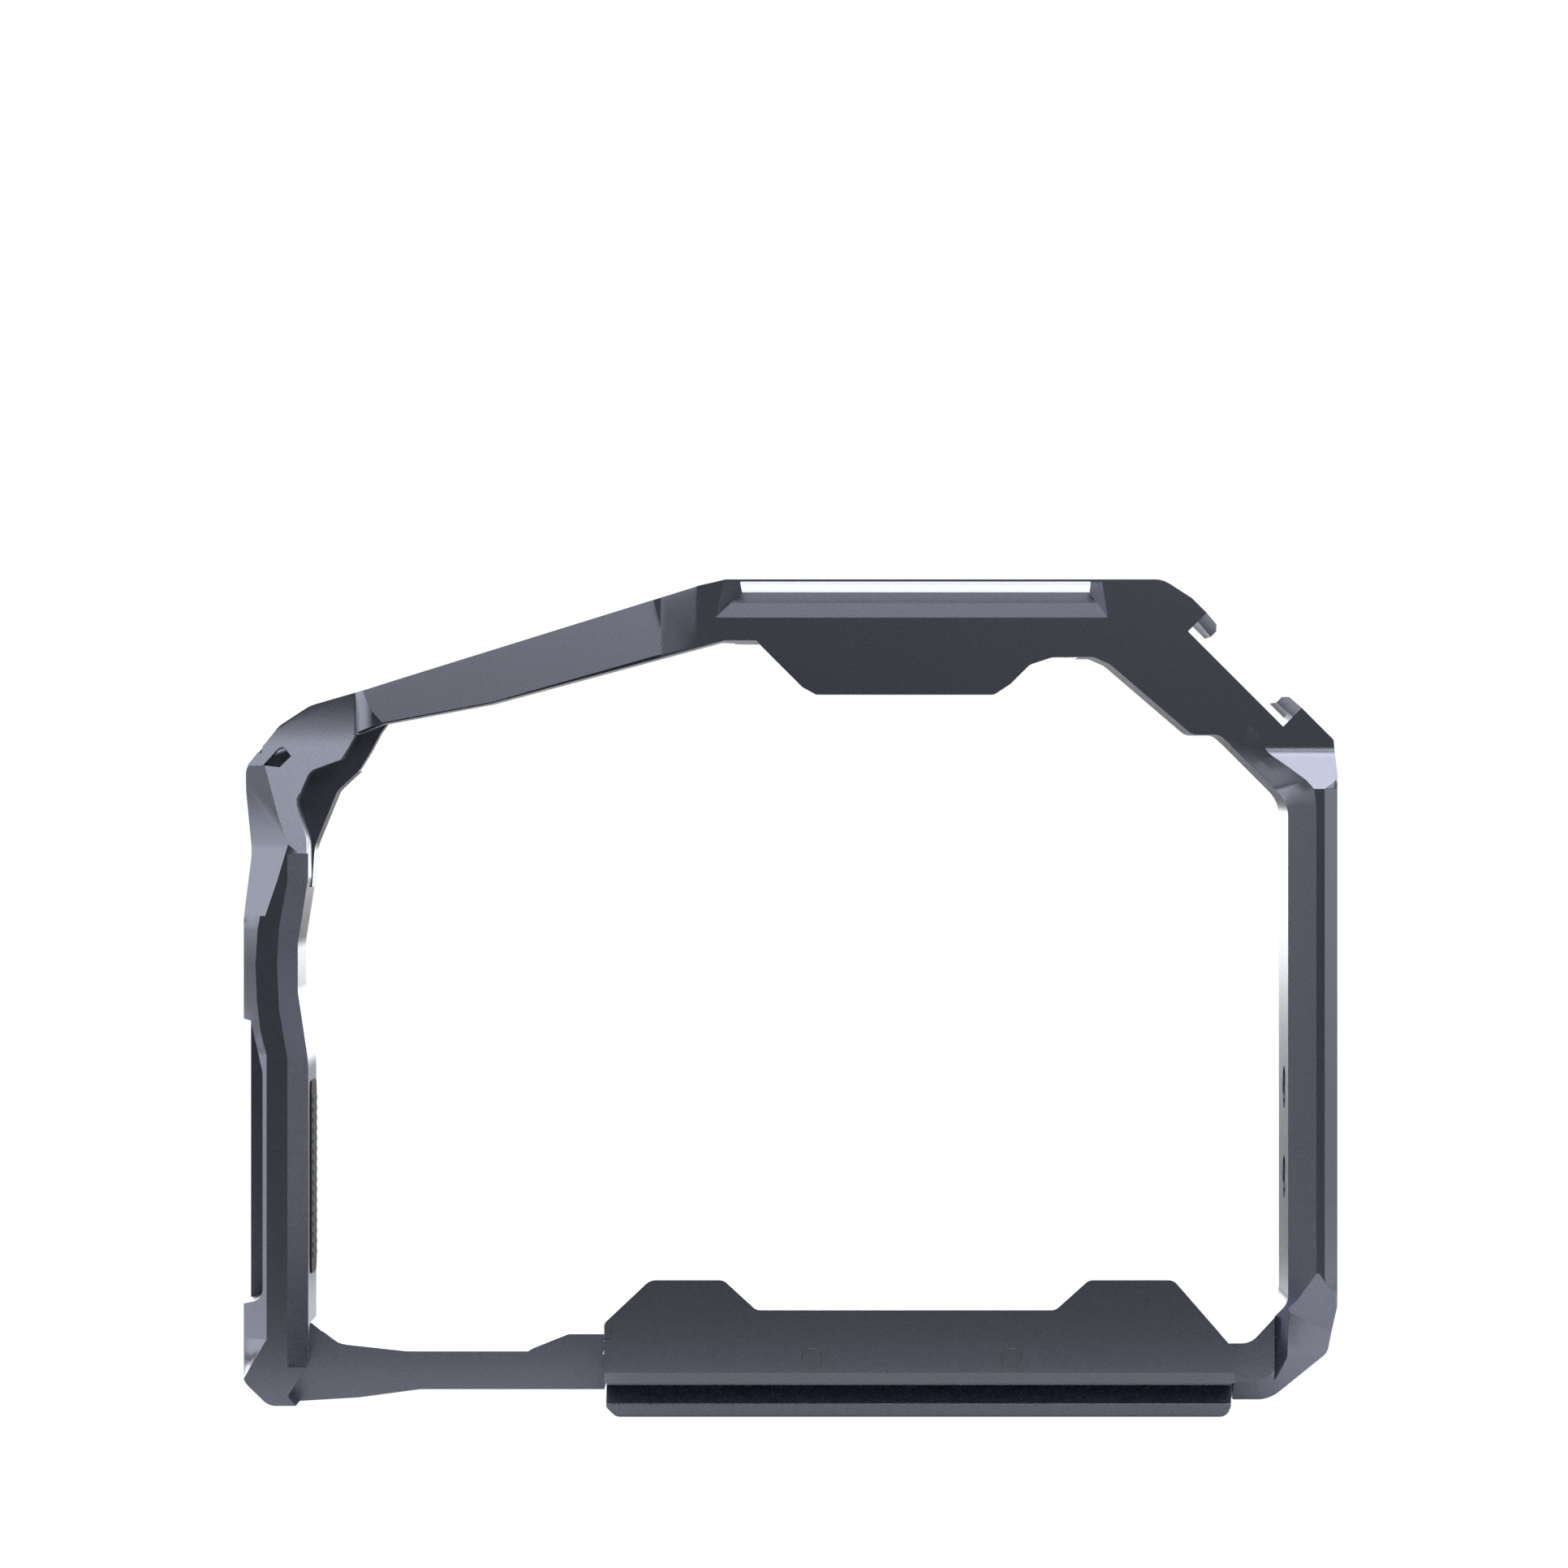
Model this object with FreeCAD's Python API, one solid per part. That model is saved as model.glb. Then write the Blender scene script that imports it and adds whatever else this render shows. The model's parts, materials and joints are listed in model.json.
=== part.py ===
import FreeCAD, Part
import math
import os

# Camera cage in millimetres, +Z up. X runs along the width with 0 on the lens axis, the front faces -Y,
# and Z is 0 on the underside of the quick-release foot.

# Overall reach of the frame
LEFT_X = -96.2            # outer face of the grip-side post
RIGHT_X = 61.5            # outer face of the plain side post
TOP_Z = 120.5             # top of the plateau
SEAT_Z = 9.5              # height at which a camera body rests

# Depths of the frame pieces
POST_FRONT_Y = -18.0      # front strip of the grip-side post
POST_BACK_Y = 4.0         # back face of both posts
SIDE_FRONT_Y = -19.0      # front strip of the plain side post
PLATE_FRONT_Y = -16.0     # front face of the top plate
PLATE_BACK_Y = 17.0       # back face of the plateau
ARM_BACK_Y = -2.0         # back face of the grip-side arm
RAIL_FRONT_Y = -9.0       # front face of the bottom rail
RAIL_BACK_Y = 13.0        # back face of the bottom rail
PAST = 1.0                # how far a cutter runs past what it cuts

# Grip-side post: outline points are steps in from its outer face or its inner face,
# and drops from the plateau's top, each with the radius of the corner there
POST_IN_X = -86.9         # inner face of the straight stretch
POST_FOOT_Z = 1.5         # underside of its foot
POST_SEAM_X = -80.1       # seam between the post and the arm
POST_SEAM_Y = -14.6       # front face at that seam
POST_EDGE_IN = 2.8        # width of the front facet on the inner side
POST_EDGE_OUT = 3.5       # width of the front facet on the outer side
POST_EDGE_FALL = 3.2      # how far both front facets fall back
SCOOP_DEEP = 1.5          # depth of the finger scoop
WAIST_DEEP = 1.1          # depth of the drawn-in outer waist
POST_OUTER = ((9.6, 18.2, 5.0), (5.2, 21.1, 3.0), (0.3, 27.3, 2.0), (0.3, 30.5, 4.0),
              (WAIST_DEEP, 39.5, 10.0), (0.0, 49.0, 12.0))
POST_INNER = ((0.0, 69.5, 15.0), (-SCOOP_DEEP, 59.5, 10.0), (-SCOOP_DEEP, 52.5, 10.0), (0.0, 43.0, 6.0),
              (0.0, 37.5, 6.0), (-1.6, 32.1, 2.5), (0.3, 27.6, 2.0), (4.9, 25.9, 1.5))
POST_TOE = (3.8, 3.7)     # slanted outer corner at the foot, across and up
INNER_FACET_AT = ((69.0, 0.0), (62.0, 1.2), (55.5, SCOOP_DEEP), (50.0, 1.2), (43.5, 0.0), (37.5, 0.0),
                  (32.1, 1.6), (27.0, 4.0))            # drop and shift of the inner facet's edge
OUTER_FACET_AT = ((68.5, POST_EDGE_OUT), (65.0, 2.6), (60.5, 2.1), (55.5, 1.9), (50.5, 2.2), (44.0, 3.3),
                  (41.0, POST_EDGE_OUT), (31.0, 0.4))  # drop and width of the outer facet
FACET_LOW_Z = 7.0         # the inner facet starts here
OUTER_FACET_LOW_Z = 5.4   # the outer facet starts here
OUTER_FACET_FULL_Z = 11.1
LEAN_FROM = (6.6, 38.2)   # the leaning corner face starts on this point of the front strip
LEAN_TO = (3.2, 26.9)     # and ends on this one
LEAN_BEND_DROP = 22.2     # it bends into the upright end face at this drop
GUSSET_FRONT_Y = -6.0     # the thicker rear web of the top corner starts here
GUSSET = ((6.8, 27.6, 0.0), (3.7, 30.5, 2.0), (0.4, 38.5, 5.0), (0.0, 44.5, 0.0))
GUSSET_IN = 4.0           # its reach into the post
STRAP_EYE = ((2.9, 26.8, 0.0), (5.3, 24.2, 0.5), (6.0, 24.2, 0.5), (6.9, 25.5, 0.0), (5.3, 27.1, 0.0))
STRAP_BACK_Y = -14.3      # back of the strap eye, which leaves through the outer side
STRAP_BRIDGE_Y = -16.6    # back of the bridge in front of it
RECESS_LOW_Z, RECESS_HIGH_DROP = 15.8, 63.1
RECESS_DEEP = 2.9         # depth of the long outer recess
RECESS_TAPER = 8.0        # length of its slanted upper end
POST_TAPS_Z = (30.0, 43.0)
POST_TAPS_Y = -6.5

# Plain side post
SIDE_IN_X = 54.4          # inner face
SIDE_CHAMFER_IN = 3.9     # width of the front facet on the inner side
SIDE_CHAMFER_OUT = 2.0    # width of the front facet on the outer side
SIDE_FALL = 2.6           # how far both front facets fall back
SIDE_KINK_DROP = 30.2     # the front starts to lean back above this
SIDE_LEAN_RISE = 5.3      # height over which it leans back to the top plate's front
SIDE_LOW_FLAT_Z = 17.0    # the front of the lower corner is set back below this
SIDE_FOOT_Z = 2.1         # underside of its lower corner
SIDE_INNER_FOOT = (45.0, 10.4)    # inner corner above the foot
SIDE_TAPS_Z = (34.0, 47.0)
SIDE_TAPS_Y = -7.5

# Shoe in the upper corner, measured along its floor (u) and out of it (v)
SHOE_X, SHOE_DROP = 40.0, 7.5   # upper end of the shoe floor
SHOE_WIDE = 19.4          # width of the slot at its floor
SHOE_HIGH = 2.0           # height of the slot under the lips
SHOE_LIP = 3.0            # reach of each lip over the floor
SHOE_LIP_THICK = 1.8
SHOE_LIP_BREAK = 0.7      # slanted edge on each lip
SHOE_LEAD = 4.5           # depth of the slanted lead-in on the front of each lip
SHOE_SEAM_U = 16.0        # place of the seam along the floor
CORNER_THICK = 7.2        # thickness of the corner under the floor

# Top plate: outline points are drops from its top
PLATE_THICK = 8.8         # thickness of the plateau
ARM_TOP_SLOPE = 0.311     # rise of the arm's upper edge over its run
ARM_END_DROP = 16.3       # upper edge of the arm at its seam
ARM_END_THICK = 6.1
ARM_TILT = 1.6            # the arm's front leans back this far over its height
ARM_KINK = 4.0            # run between the arm's upper edge and the plateau
ARM_UNDER = ((1.1, 22.1, 0.0), (4.1, 20.8, 2.0), (19.6, 17.9, 10.0))   # run from the seam, drop, radius
PLATEAU_LEFT_X, PLATEAU_RIGHT_X = -26.8, 27.3
SKIRT_DROP = 16.6         # lower edge of the front skirt
SKIRT_THICK = 4.6
SKIRT = ((-22.3, 8.8, 0.0), (-15.6, 15.5, 1.0), (-13.6, SKIRT_DROP, 1.0), (12.1, SKIRT_DROP, 1.0),
         (14.4, 15.1, 1.0), (17.2, 12.3, 2.0), (20.5, 11.2, 3.0), (27.0, 11.2, 0.0))
SHOULDER = ((44.6, 22.4, 2.0), (40.6, 22.4, 2.0), (28.7, 12.2, 1.5), (26.4, 11.2, 0.0))
SHOULDER_TOP_X = 36.4
BAND_DROPS = (5.5, 1.8)   # sloped band along the front edge, lower and upper border
BAND_FALL = 2.6
BROW_FALL = 9.0           # depth of the shallow slope from the band up to the plateau
BAND_ENDS = ((-28.1, 28.4), (-24.3, 25.9), (-26.8, 27.3))   # ends of the three borders, from below
PLATEAU_SPREAD = ((-31.0, 31.0), (-25.5, 27.5))   # reach at the front and at the back
PLATEAU_STEP_Y = 8.0
WINDOW_HALF = 11.5        # opening over the camera's own shoe
WINDOW_FRONT_Y = -3.0
CHANNEL_HALF = 9.0        # channel under the plateau behind the skirt
CHANNEL_DEEP = 2.5
TOP_TAPS = ((-19.5, 2.0), (-19.5, 12.0))
LOCATE_AT = (19.5, 9.0)   # 3/8"-16 hole
LOCATE_R = 1.6            # locating holes beside it
LOCATE_STEP = 7.0         # distance of each from its middle
LOCATE_DEEP = 3.0

# Quick-release foot
FOOT_LEFT_X, FOOT_RIGHT_X = -44.0, 46.3
DOVETAIL_HALF = 19.0      # half width of the foot across its rails
DOVETAIL_LIP = 1.9        # height of the rail's edge
DOVETAIL_IN = 2.5         # depth of the groove above the rail
DOVETAIL_EDGE = 0.3
GROOVE_TOP_Z = 5.1        # top of the groove
FOOT_TOP_Z = 6.3          # top of the foot, where the rail's tongue lies
FOOT_LEDGE = 0.8          # step at the back of its top
WALL_FRONT_Y = -24.0      # front face of the foot's wall
WALL_THICK = 3.4
WALL_SLOPE = 1.4          # how far the wall's lower edge slants back
WALL_CREASE_Z = 6.7
WALL_MID_Z = 15.7         # height of the wall between its tabs
WALL_TAB_Z = 20.0         # height of the two tabs
WALL_LEFT_Z, WALL_RIGHT_Z = 13.8, 9.9   # height at its two ends
WALL_TABS = ((-37.4, -26.9), (25.4, 37.5))   # upper corners of the tabs
WALL_MID = (-22.2, 20.6)  # lower corners between the tabs
WALL_NOTCH = (1.1, 11.3, 13.2, 0.8)   # small notch at the wall's end: width, low, high, depth
FOOT_CORNER = (3.0, 5.0)  # slanted rear corners of the foot, across and along

# Bottom rail
RAIL_LOW_Z, RAIL_HIGH_Z = 3.2, 8.7
RAIL_LEFT_X = -71.0       # left end of its straight underside
RAIL_NOSE_X, RAIL_NOSE_Z = -80.0, 2.0   # its underside drops to this
RAIL_RISE = ((-73.0, RAIL_HIGH_Z, 10.0), (-83.0, 9.8, 5.0))
RAIL_OVER = 0.3           # the rail and its rib end this far past the foot
RIB_HIGH_Z = 11.2         # raised rib beside the foot
RIB_X = -49.5
RIB_RUN = 5.5             # run of its sloped end
RIB_THICK = 3.0
TRIM_X = (-80.0, -70.0)   # the rail narrows to the post's depth between these
TONGUE_RIGHT_X = 45.5
TONGUE_BACK_Y = 18.0
TONGUE_GAP = 0.2          # gap between the tongue and the foot's wall
PAD_PROUD = 0.4           # rubber stands this far out of its recess
PAD_SUNK = 0.5
PAD_SPANS = ((-38.0, -14.0), (14.0, 38.0))
PAD_DEPTHS = (-9.0, 10.5)
PAD_CORNER = 2.0
SIDE_PAD_THICK = 0.8
LEFT_PAD_Y = (-11.0, 1.0)
LEFT_PAD_LOW_Z, LEFT_PAD_HIGH_DROP = 20.0, 72.5
SKIRT_PAD_X = (-12.0, 11.0)
SKIRT_PAD_DROPS = (15.3, 9.9)

# Screws, dowels and holes
SCREW_R = 1.5             # M3 shank
SCREW_HEAD_R = 2.75
SCREW_HEAD_HIGH = 1.8
SMALL_SCREW = (2.3, 1.5, 1.25)   # head radius, head height and shank radius of the screws in the arm
SOCKET_R = 1.0
SOCKET_SHARE = 0.6        # share of the head's height
SOCKET_SIDES = 6
CLEAR = 0.15              # radial clearance of a screw in its hole
DOWEL_R = 1.25
DOWEL_LONG = 7.0
TAP_QUARTER_R = 2.55      # tapped 1/4"-20 hole, drilled wall
TAP_THREE_EIGHT_R = 3.95  # tapped 3/8"-16 hole, drilled wall
FRONT_PIN_R = 1.5
FRONT_PIN_X = 14.25
FRONT_PIN_Z = 8.8
FRONT_PIN_SHORT = 0.1     # the pins end this far inside the wall's back
FOOT_TAP_X = 19.0
FOOT_TAP_ROOF = 0.8       # metal left over the foot's tapped hole

# Joints between the frame pieces
TOP_LEFT_WAY = (1.0, 0.0, 0.28)
TOP_LEFT_YS = (-11.0, -4.0)
TOP_LEFT_SEAT = (5.4, 21.0)    # run back from the seam and drop of the screw heads
TOP_LEFT_LONG = 8.0
TOP_LEFT_DOWEL_Y = -7.5
BOTTOM_LEFT_YS = (-5.5, 0.5)
BOTTOM_LEFT_SEAT = (2.6, 6.6)  # step in from the outer face, and height
BOTTOM_LEFT_LONG = 14.0
BOTTOM_LEFT_DOWELS = ((-7.0, 9.9), (2.2, 9.9))
TOP_RIGHT_YS = (-10.5, -1.5)
TOP_RIGHT_RUN = 8.0       # step of the screw heads from the seam
TOP_RIGHT_LONG = 13.0
TOP_RIGHT_DOWEL_YS = (-14.0, 2.0)
FOOT_SCREWS = ((13.0, 15.3), (-12.0, 13.5))   # steps in from the foot's ends, and depths
FOOT_SCREW_LOW_Z = 0.4
FOOT_DOWELS_IN = (3.0, 5.3)
FOOT_ACCESS = 2.0

# Camera screw, its clip and its folding ring
CAM_R = 3.175             # 1/4" thread, outer radius
CAM_PROUD = 4.6           # thread above the seat when tightened
CAM_TRAVEL = 2.54         # two turns of a 1.27 mm pitch
CAM_HEAD_R = 7.0
CAM_HEAD_HIGH = 2.2
CAM_HEAD_LOW_Z = 0.2      # lowest face of the head when released
CAM_NECK_IN = 0.4         # the neck is this much thinner than the thread
CAM_GROOVE_IN = 1.0       # so is the groove for the clip
CAM_POINT = 0.6           # chamfer at its tip
CAM_WELL_GAP = 0.4        # radial gap round the head
CAM_WEB_Z = 5.0           # underside of the web that the head pulls against
CAM_NECK_GAP = 0.25       # radial gap round the thread in the web
COIN_SLOT = (5.0, 6.2)    # near and far side of the slot across the head
COIN_SLOT_DEEP = 1.0
CLIP_R = 4.9
CLIP_THICK = 0.6
CLIP_LIFT = 0.05          # gap under the clip
CLIP_GAP = 0.05           # radial gap round the groove
CLIP_WELL_R = 5.6
RING_OUT_R = 5.0          # outer radius of the folding ring
RING_WIRE = 1.0           # thickness of its wire
RING_BED = 1.5            # depth of the recess that it folds into
RING_BED_GAP = 0.5        # radial gap round the ring in it
RING_CORE_GAP = 1.2       # gap between the ring and the recess's island
RING_LIFT = 0.15          # the folded ring lies this far above the head's underside
RING_PIN_Y = -3.2         # its hinge line across the head
RING_PIN_UP = 0.65        # height of that line above the head's underside
RING_PIN_R = 0.45
RING_PIN_HALF = 5.6       # half length of the hinge wire
RING_PIN_GAP = 0.05       # radial running clearance of the wire in the head
RING_PIN_END = 0.1        # gap at each end of it

# Stored screwdriver key
KEY_X0, KEY_X1 = FOOT_LEFT_X + 2.5, -13.0
KEY_Y = 6.0
KEY_HALF = 3.5
KEY_THICK = 2.4
KEY_GAP = 0.25
KEY_LOW_Z = 0.3
KEY_CORNER = 2.0
KEY_NECK = (11.0, 7.0)    # the handle narrows between these distances from the tip
KEY_NECK_HALF = 2.2
KEY_EYE = (2.0, 6.0)      # near and far side of its eye
KEY_EYE_CORNER = 1.4
KEY_BLADE = (3.0, 0.7)    # length of the blade, and how much it is thinned on each face
MAGNET_R = 2.0
MAGNET_HIGH = 1.5
MAGNETS_X = (KEY_X0 + 5.5, KEY_X1 - 11.0)

V = FreeCAD.Vector
HALF_ROOT = math.sqrt(0.5)


def shoe(u, v):
    """Point of the corner shoe in the X-Z plane."""
    return (SHOE_X + (u + v) * HALF_ROOT, TOP_Z - SHOE_DROP + (v - u) * HALF_ROOT)


def place_drops(points, x0, way=1):
    """Points given by a run from x0 and a drop from the top, with their corner radii."""
    return [(x0 + way * run, TOP_Z - drop, radius) for run, drop, radius in points]


def rounded(points, place):
    """Closed face through the points. A third value rounds that corner with a tangent arc."""
    edges, tails = [], []
    count = len(points)
    for i, corner in enumerate(points):
        here = place(corner[0], corner[1])
        radius = corner[2] if len(corner) > 2 else 0.0
        back = place(*points[i - 1][:2]).sub(here)
        ahead = place(*points[(i + 1) % count][:2]).sub(here)
        turn = back.getAngle(ahead)
        if radius <= 0.0 or turn > math.radians(179.5):
            tails.append((here, None, here))
            continue
        back.normalize()
        ahead.normalize()
        reach = radius / math.tan(turn / 2)
        middle = back.add(ahead)
        middle.normalize()
        drop = radius / math.sin(turn / 2) - radius
        tails.append((here + back * reach, here + middle * drop, here + ahead * reach))
    for i, (enter, middle, leave) in enumerate(tails):
        if middle is not None:
            edges.append(Part.Arc(enter, middle, leave).toShape())
        target = tails[(i + 1) % count][0]
        if leave.distanceToPoint(target) > 1e-5:
            edges.append(Part.LineSegment(leave, target).toShape())
    return Part.Face(Part.Wire(edges))


def front_slab(points, y0, y1):
    """Solid with the given X-Z outline, from depth y0 back to y1."""
    return rounded(points, lambda x, z: V(x, y0, z)).extrude(V(0, y1 - y0, 0))


def side_slab(points, x0, x1):
    """Solid with the given Y-Z outline, from x0 to x1."""
    return rounded(points, lambda y, z: V(x0, y, z)).extrude(V(x1 - x0, 0, 0))


def flat_slab(points, z0, z1):
    """Solid with the given X-Y outline, from z0 up to z1."""
    return rounded(points, lambda x, y: V(x, y, z0)).extrude(V(0, 0, z1 - z0))


def box(x0, x1, y0, y1, z0, z1):
    return Part.makeBox(x1 - x0, y1 - y0, z1 - z0, V(x0, y0, z0))


def rod(start, end, radius):
    """Cylinder between two points."""
    run = V(*end).sub(V(*start))
    return Part.makeCylinder(radius, run.Length, V(*start), run)


def ruled(sections):
    """Ruled solid through closed polygons with the same number of corners."""
    wires = [Part.makePolygon([V(*p) for p in section + section[:1]]) for section in sections]
    solid = Part.makeLoft(wires, True, True)
    if solid.Volume < 0:
        solid.reverse()
    return solid


def between(a, b, share):
    """Point on the line from a to b, which may lie past either."""
    return tuple(p + share * (q - p) for p, q in zip(a, b))


def opened(shape, cutters):
    """The shape with each cutter taken out in turn."""
    for cutter in cutters:
        shape = shape.cut(cutter)
    return shape


def write(name, shape):
    solids = shape.Solids
    body = solids[0] if len(solids) == 1 else Part.makeCompound(solids)
    body.exportStep(os.path.join("parts", name + ".step"))


# Shapes shared by pieces that meet

def foot_seam():
    """Curved seam between the grip-side post and the bottom rail, from its upper end down."""
    return [(POST_IN_X, 12.9), (POST_IN_X, 7.2, 3.0), (-89.7, 2.9), (-88.5, POST_FOOT_Z)]


def facet(levels, front):
    """Cutter for a falling front facet. Each level gives z, the border x, the edge x and the fall there."""
    ahead, behind = 0.35, 1.35
    sections = []
    for z, border, edge, fall in levels:
        run = edge - border
        sections.append([(border - ahead * run, front - ahead * fall, z),
                         (border + behind * run, front + behind * fall, z),
                         (border + behind * run, front - ahead * fall, z)])
    return ruled(sections)


def slanted(stations, front):
    """Cutter for a slanted face. Each station gives a point of its inner border and one of its outer edge."""
    sections = []
    for border, edge in stations:
        near, far = between(border, edge, -0.3), between(border, edge, 1.5)
        sections.append([near, far, (far[0], front, far[2])])
    return ruled(sections)


def lead_in(u_tip, u_root, front):
    """Slanted lead-in on the front of one lip of the shoe."""
    v0, v1 = SHOE_HIGH, SHOE_HIGH + SHOE_LIP_THICK + PAST
    past = between((u_root, 0.0), (u_tip, SHOE_LEAD), 1.4)
    corners = [(u_root, -PAST), (u_root, 0.0), past, (past[0], -PAST)]
    ends = []
    for v in (v0, v1):
        ends.append([(shoe(u, v)[0], front + y, shoe(u, v)[1]) for u, y in corners])
    return ruled(ends)


def hex_prism(top, run, radius, deep):
    """Hexagon prism from a point along a direction."""
    step = V(0, 1, 0) if abs(run.y) < 0.9 else V(1, 0, 0)
    side = run.cross(step)
    side.normalize()
    third = run.cross(side)
    turns = [2 * math.pi * i / SOCKET_SIDES for i in range(SOCKET_SIDES + 1)]
    rim = [top + side * (radius * math.cos(a)) + third * (radius * math.sin(a)) for a in turns]
    return Part.Face(Part.makePolygon(rim)).extrude(run * deep)


def screw(start, way, length, head_r=SCREW_HEAD_R, head_high=SCREW_HEAD_HIGH, shank_r=SCREW_R):
    """Flat-topped socket screw. start is the middle of its head's top, way is its driving direction."""
    run = V(*way)
    run.normalize()
    top = V(*start)
    head = Part.makeCylinder(head_r, head_high, top, run)
    shank = Part.makeCylinder(shank_r, length, top + run * head_high, run)
    return head.fuse(shank).cut(hex_prism(top, run, SOCKET_R, head_high * SOCKET_SHARE))


def screw_hole(start, way, length, head_r=SCREW_HEAD_R, head_high=SCREW_HEAD_HIGH, shank_r=SCREW_R,
               open_by=0.0):
    """Stepped hole for that screw, opened outwards past its head by open_by."""
    run = V(*way)
    run.normalize()
    top = V(*start) - run * open_by
    head = Part.makeCylinder(head_r + CLEAR, open_by + head_high, top, run)
    shank = Part.makeCylinder(shank_r, length + CLEAR, V(*start) + run * (head_high - 0.01), run)
    return head.fuse(shank)


def screw_group(seats):
    return Part.makeCompound([screw(*seat) for seat in seats])


def dowels(points, way):
    """Dowels, each half in one piece and half in the other."""
    run = V(*way)
    run.normalize()
    made = [Part.makeCylinder(DOWEL_R, DOWEL_LONG, V(*p) - run * (DOWEL_LONG / 2), run) for p in points]
    return Part.makeCompound(made)


# Places of the joints between the frame pieces

def top_left_seats():
    back, drop = TOP_LEFT_SEAT
    return [((POST_SEAM_X - back, y, TOP_Z - drop), TOP_LEFT_WAY, TOP_LEFT_LONG, *SMALL_SCREW)
            for y in TOP_LEFT_YS]


def top_left_dowels():
    back, drop = TOP_LEFT_SEAT
    rise = back * TOP_LEFT_WAY[2]
    return dowels([(POST_SEAM_X, TOP_LEFT_DOWEL_Y, TOP_Z - drop + rise)], TOP_LEFT_WAY)


def bottom_left_seats():
    step, z = BOTTOM_LEFT_SEAT
    return [((LEFT_X + step, y, z), (1, 0, 0), BOTTOM_LEFT_LONG) for y in BOTTOM_LEFT_YS]


def bottom_left_dowels():
    return dowels([(POST_IN_X, y, z) for y, z in BOTTOM_LEFT_DOWELS], (1, 0, 0))


def top_right_seats():
    x, z = shoe(SHOE_SEAM_U + TOP_RIGHT_RUN, -CORNER_THICK / 2)
    return [((x, y, z), (-1, 0, 1), TOP_RIGHT_LONG) for y in TOP_RIGHT_YS]


def top_right_dowels():
    x, z = shoe(SHOE_SEAM_U, -CORNER_THICK / 2)
    return dowels([(x, y, z) for y in TOP_RIGHT_DOWEL_YS], (-1, 0, 1))


def foot_seats():
    (left, right), depths = FOOT_SCREWS
    return [((x, y, FOOT_SCREW_LOW_Z), (0, 0, 1), FOOT_TOP_Z)
            for x in (FOOT_LEFT_X + left, FOOT_RIGHT_X - right) for y in depths]


def foot_dowels():
    left, right = FOOT_DOWELS_IN
    return dowels([(x, 0.0, FOOT_TOP_Z) for x in (FOOT_LEFT_X + left, FOOT_RIGHT_X - right)], (0, 0, 1))


# Grip-side post

def left_post():
    front = [(POST_SEAM_X, TOP_Z - ARM_END_DROP)] + place_drops(POST_OUTER, LEFT_X)
    front += [(LEFT_X, POST_FOOT_Z + POST_TOE[1], 3.0), (LEFT_X + POST_TOE[0], POST_FOOT_Z, 2.5)]
    front += foot_seam()[::-1] + place_drops(POST_INNER, POST_IN_X)
    front.append((POST_SEAM_X, TOP_Z - ARM_END_DROP - ARM_END_THICK))
    web = [(POST_SEAM_X, TOP_Z - ARM_END_DROP - ARM_END_THICK + 0.5)] + place_drops(GUSSET, POST_IN_X)
    web += [(POST_IN_X - GUSSET_IN, web[-1][1]), (POST_IN_X - GUSSET_IN, TOP_Z - LEAN_BEND_DROP)]
    body = front_slab(front, POST_FRONT_Y, POST_BACK_Y)
    body = body.fuse(front_slab(web, GUSSET_FRONT_Y, POST_BACK_Y)).removeSplitter()

    inner = [(FACET_LOW_Z, POST_IN_X - POST_EDGE_IN, POST_IN_X, POST_EDGE_FALL)]
    for drop, shift in INNER_FACET_AT:
        edge = POST_IN_X - shift
        inner.append((TOP_Z - drop, edge - POST_EDGE_IN, edge, POST_EDGE_FALL))
    outer = [(OUTER_FACET_LOW_Z, LEFT_X + 0.2, LEFT_X, POST_EDGE_FALL),
             (OUTER_FACET_FULL_Z, LEFT_X + POST_EDGE_OUT, LEFT_X, POST_EDGE_FALL)]
    outer += [(TOP_Z - drop, LEFT_X + wide, LEFT_X, POST_EDGE_FALL) for drop, wide in OUTER_FACET_AT]

    recess_high = TOP_Z - RECESS_HIGH_DROP
    recess = front_slab([(LEFT_X - PAST, recess_high), (LEFT_X + 1.1, recess_high - 0.5),
                         (LEFT_X + RECESS_DEEP, recess_high - RECESS_TAPER, 3.0),
                         (LEFT_X + RECESS_DEEP, RECESS_LOW_Z + 1.0, 2.0), (LEFT_X - PAST, RECESS_LOW_Z)],
                        POST_FRONT_Y - PAST, POST_BACK_Y - 4.0)
    eye = place_drops(STRAP_EYE, LEFT_X)
    way_out = [(LEFT_X - PAST, eye[0][1]), (LEFT_X - PAST, eye[1][1]), eye[1], eye[0]]
    cutters = [facet(inner, POST_FRONT_Y), facet(outer, POST_FRONT_Y), corner_lean(), recess,
               front_slab(eye, POST_FRONT_Y - PAST, STRAP_BACK_Y),
               front_slab(way_out, STRAP_BRIDGE_Y, STRAP_BACK_Y)]
    cutters += [screw_hole(*seat, open_by=20.0) for seat in top_left_seats()]
    cutters += [screw_hole(*seat, open_by=5.0) for seat in bottom_left_seats()]
    cutters += top_left_dowels().Solids + bottom_left_dowels().Solids
    for z in POST_TAPS_Z:
        cutters.append(rod((LEFT_X - PAST, POST_TAPS_Y, z), (POST_IN_X + PAST, POST_TAPS_Y, z), TAP_QUARTER_R))
    return opened(body, cutters)


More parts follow.
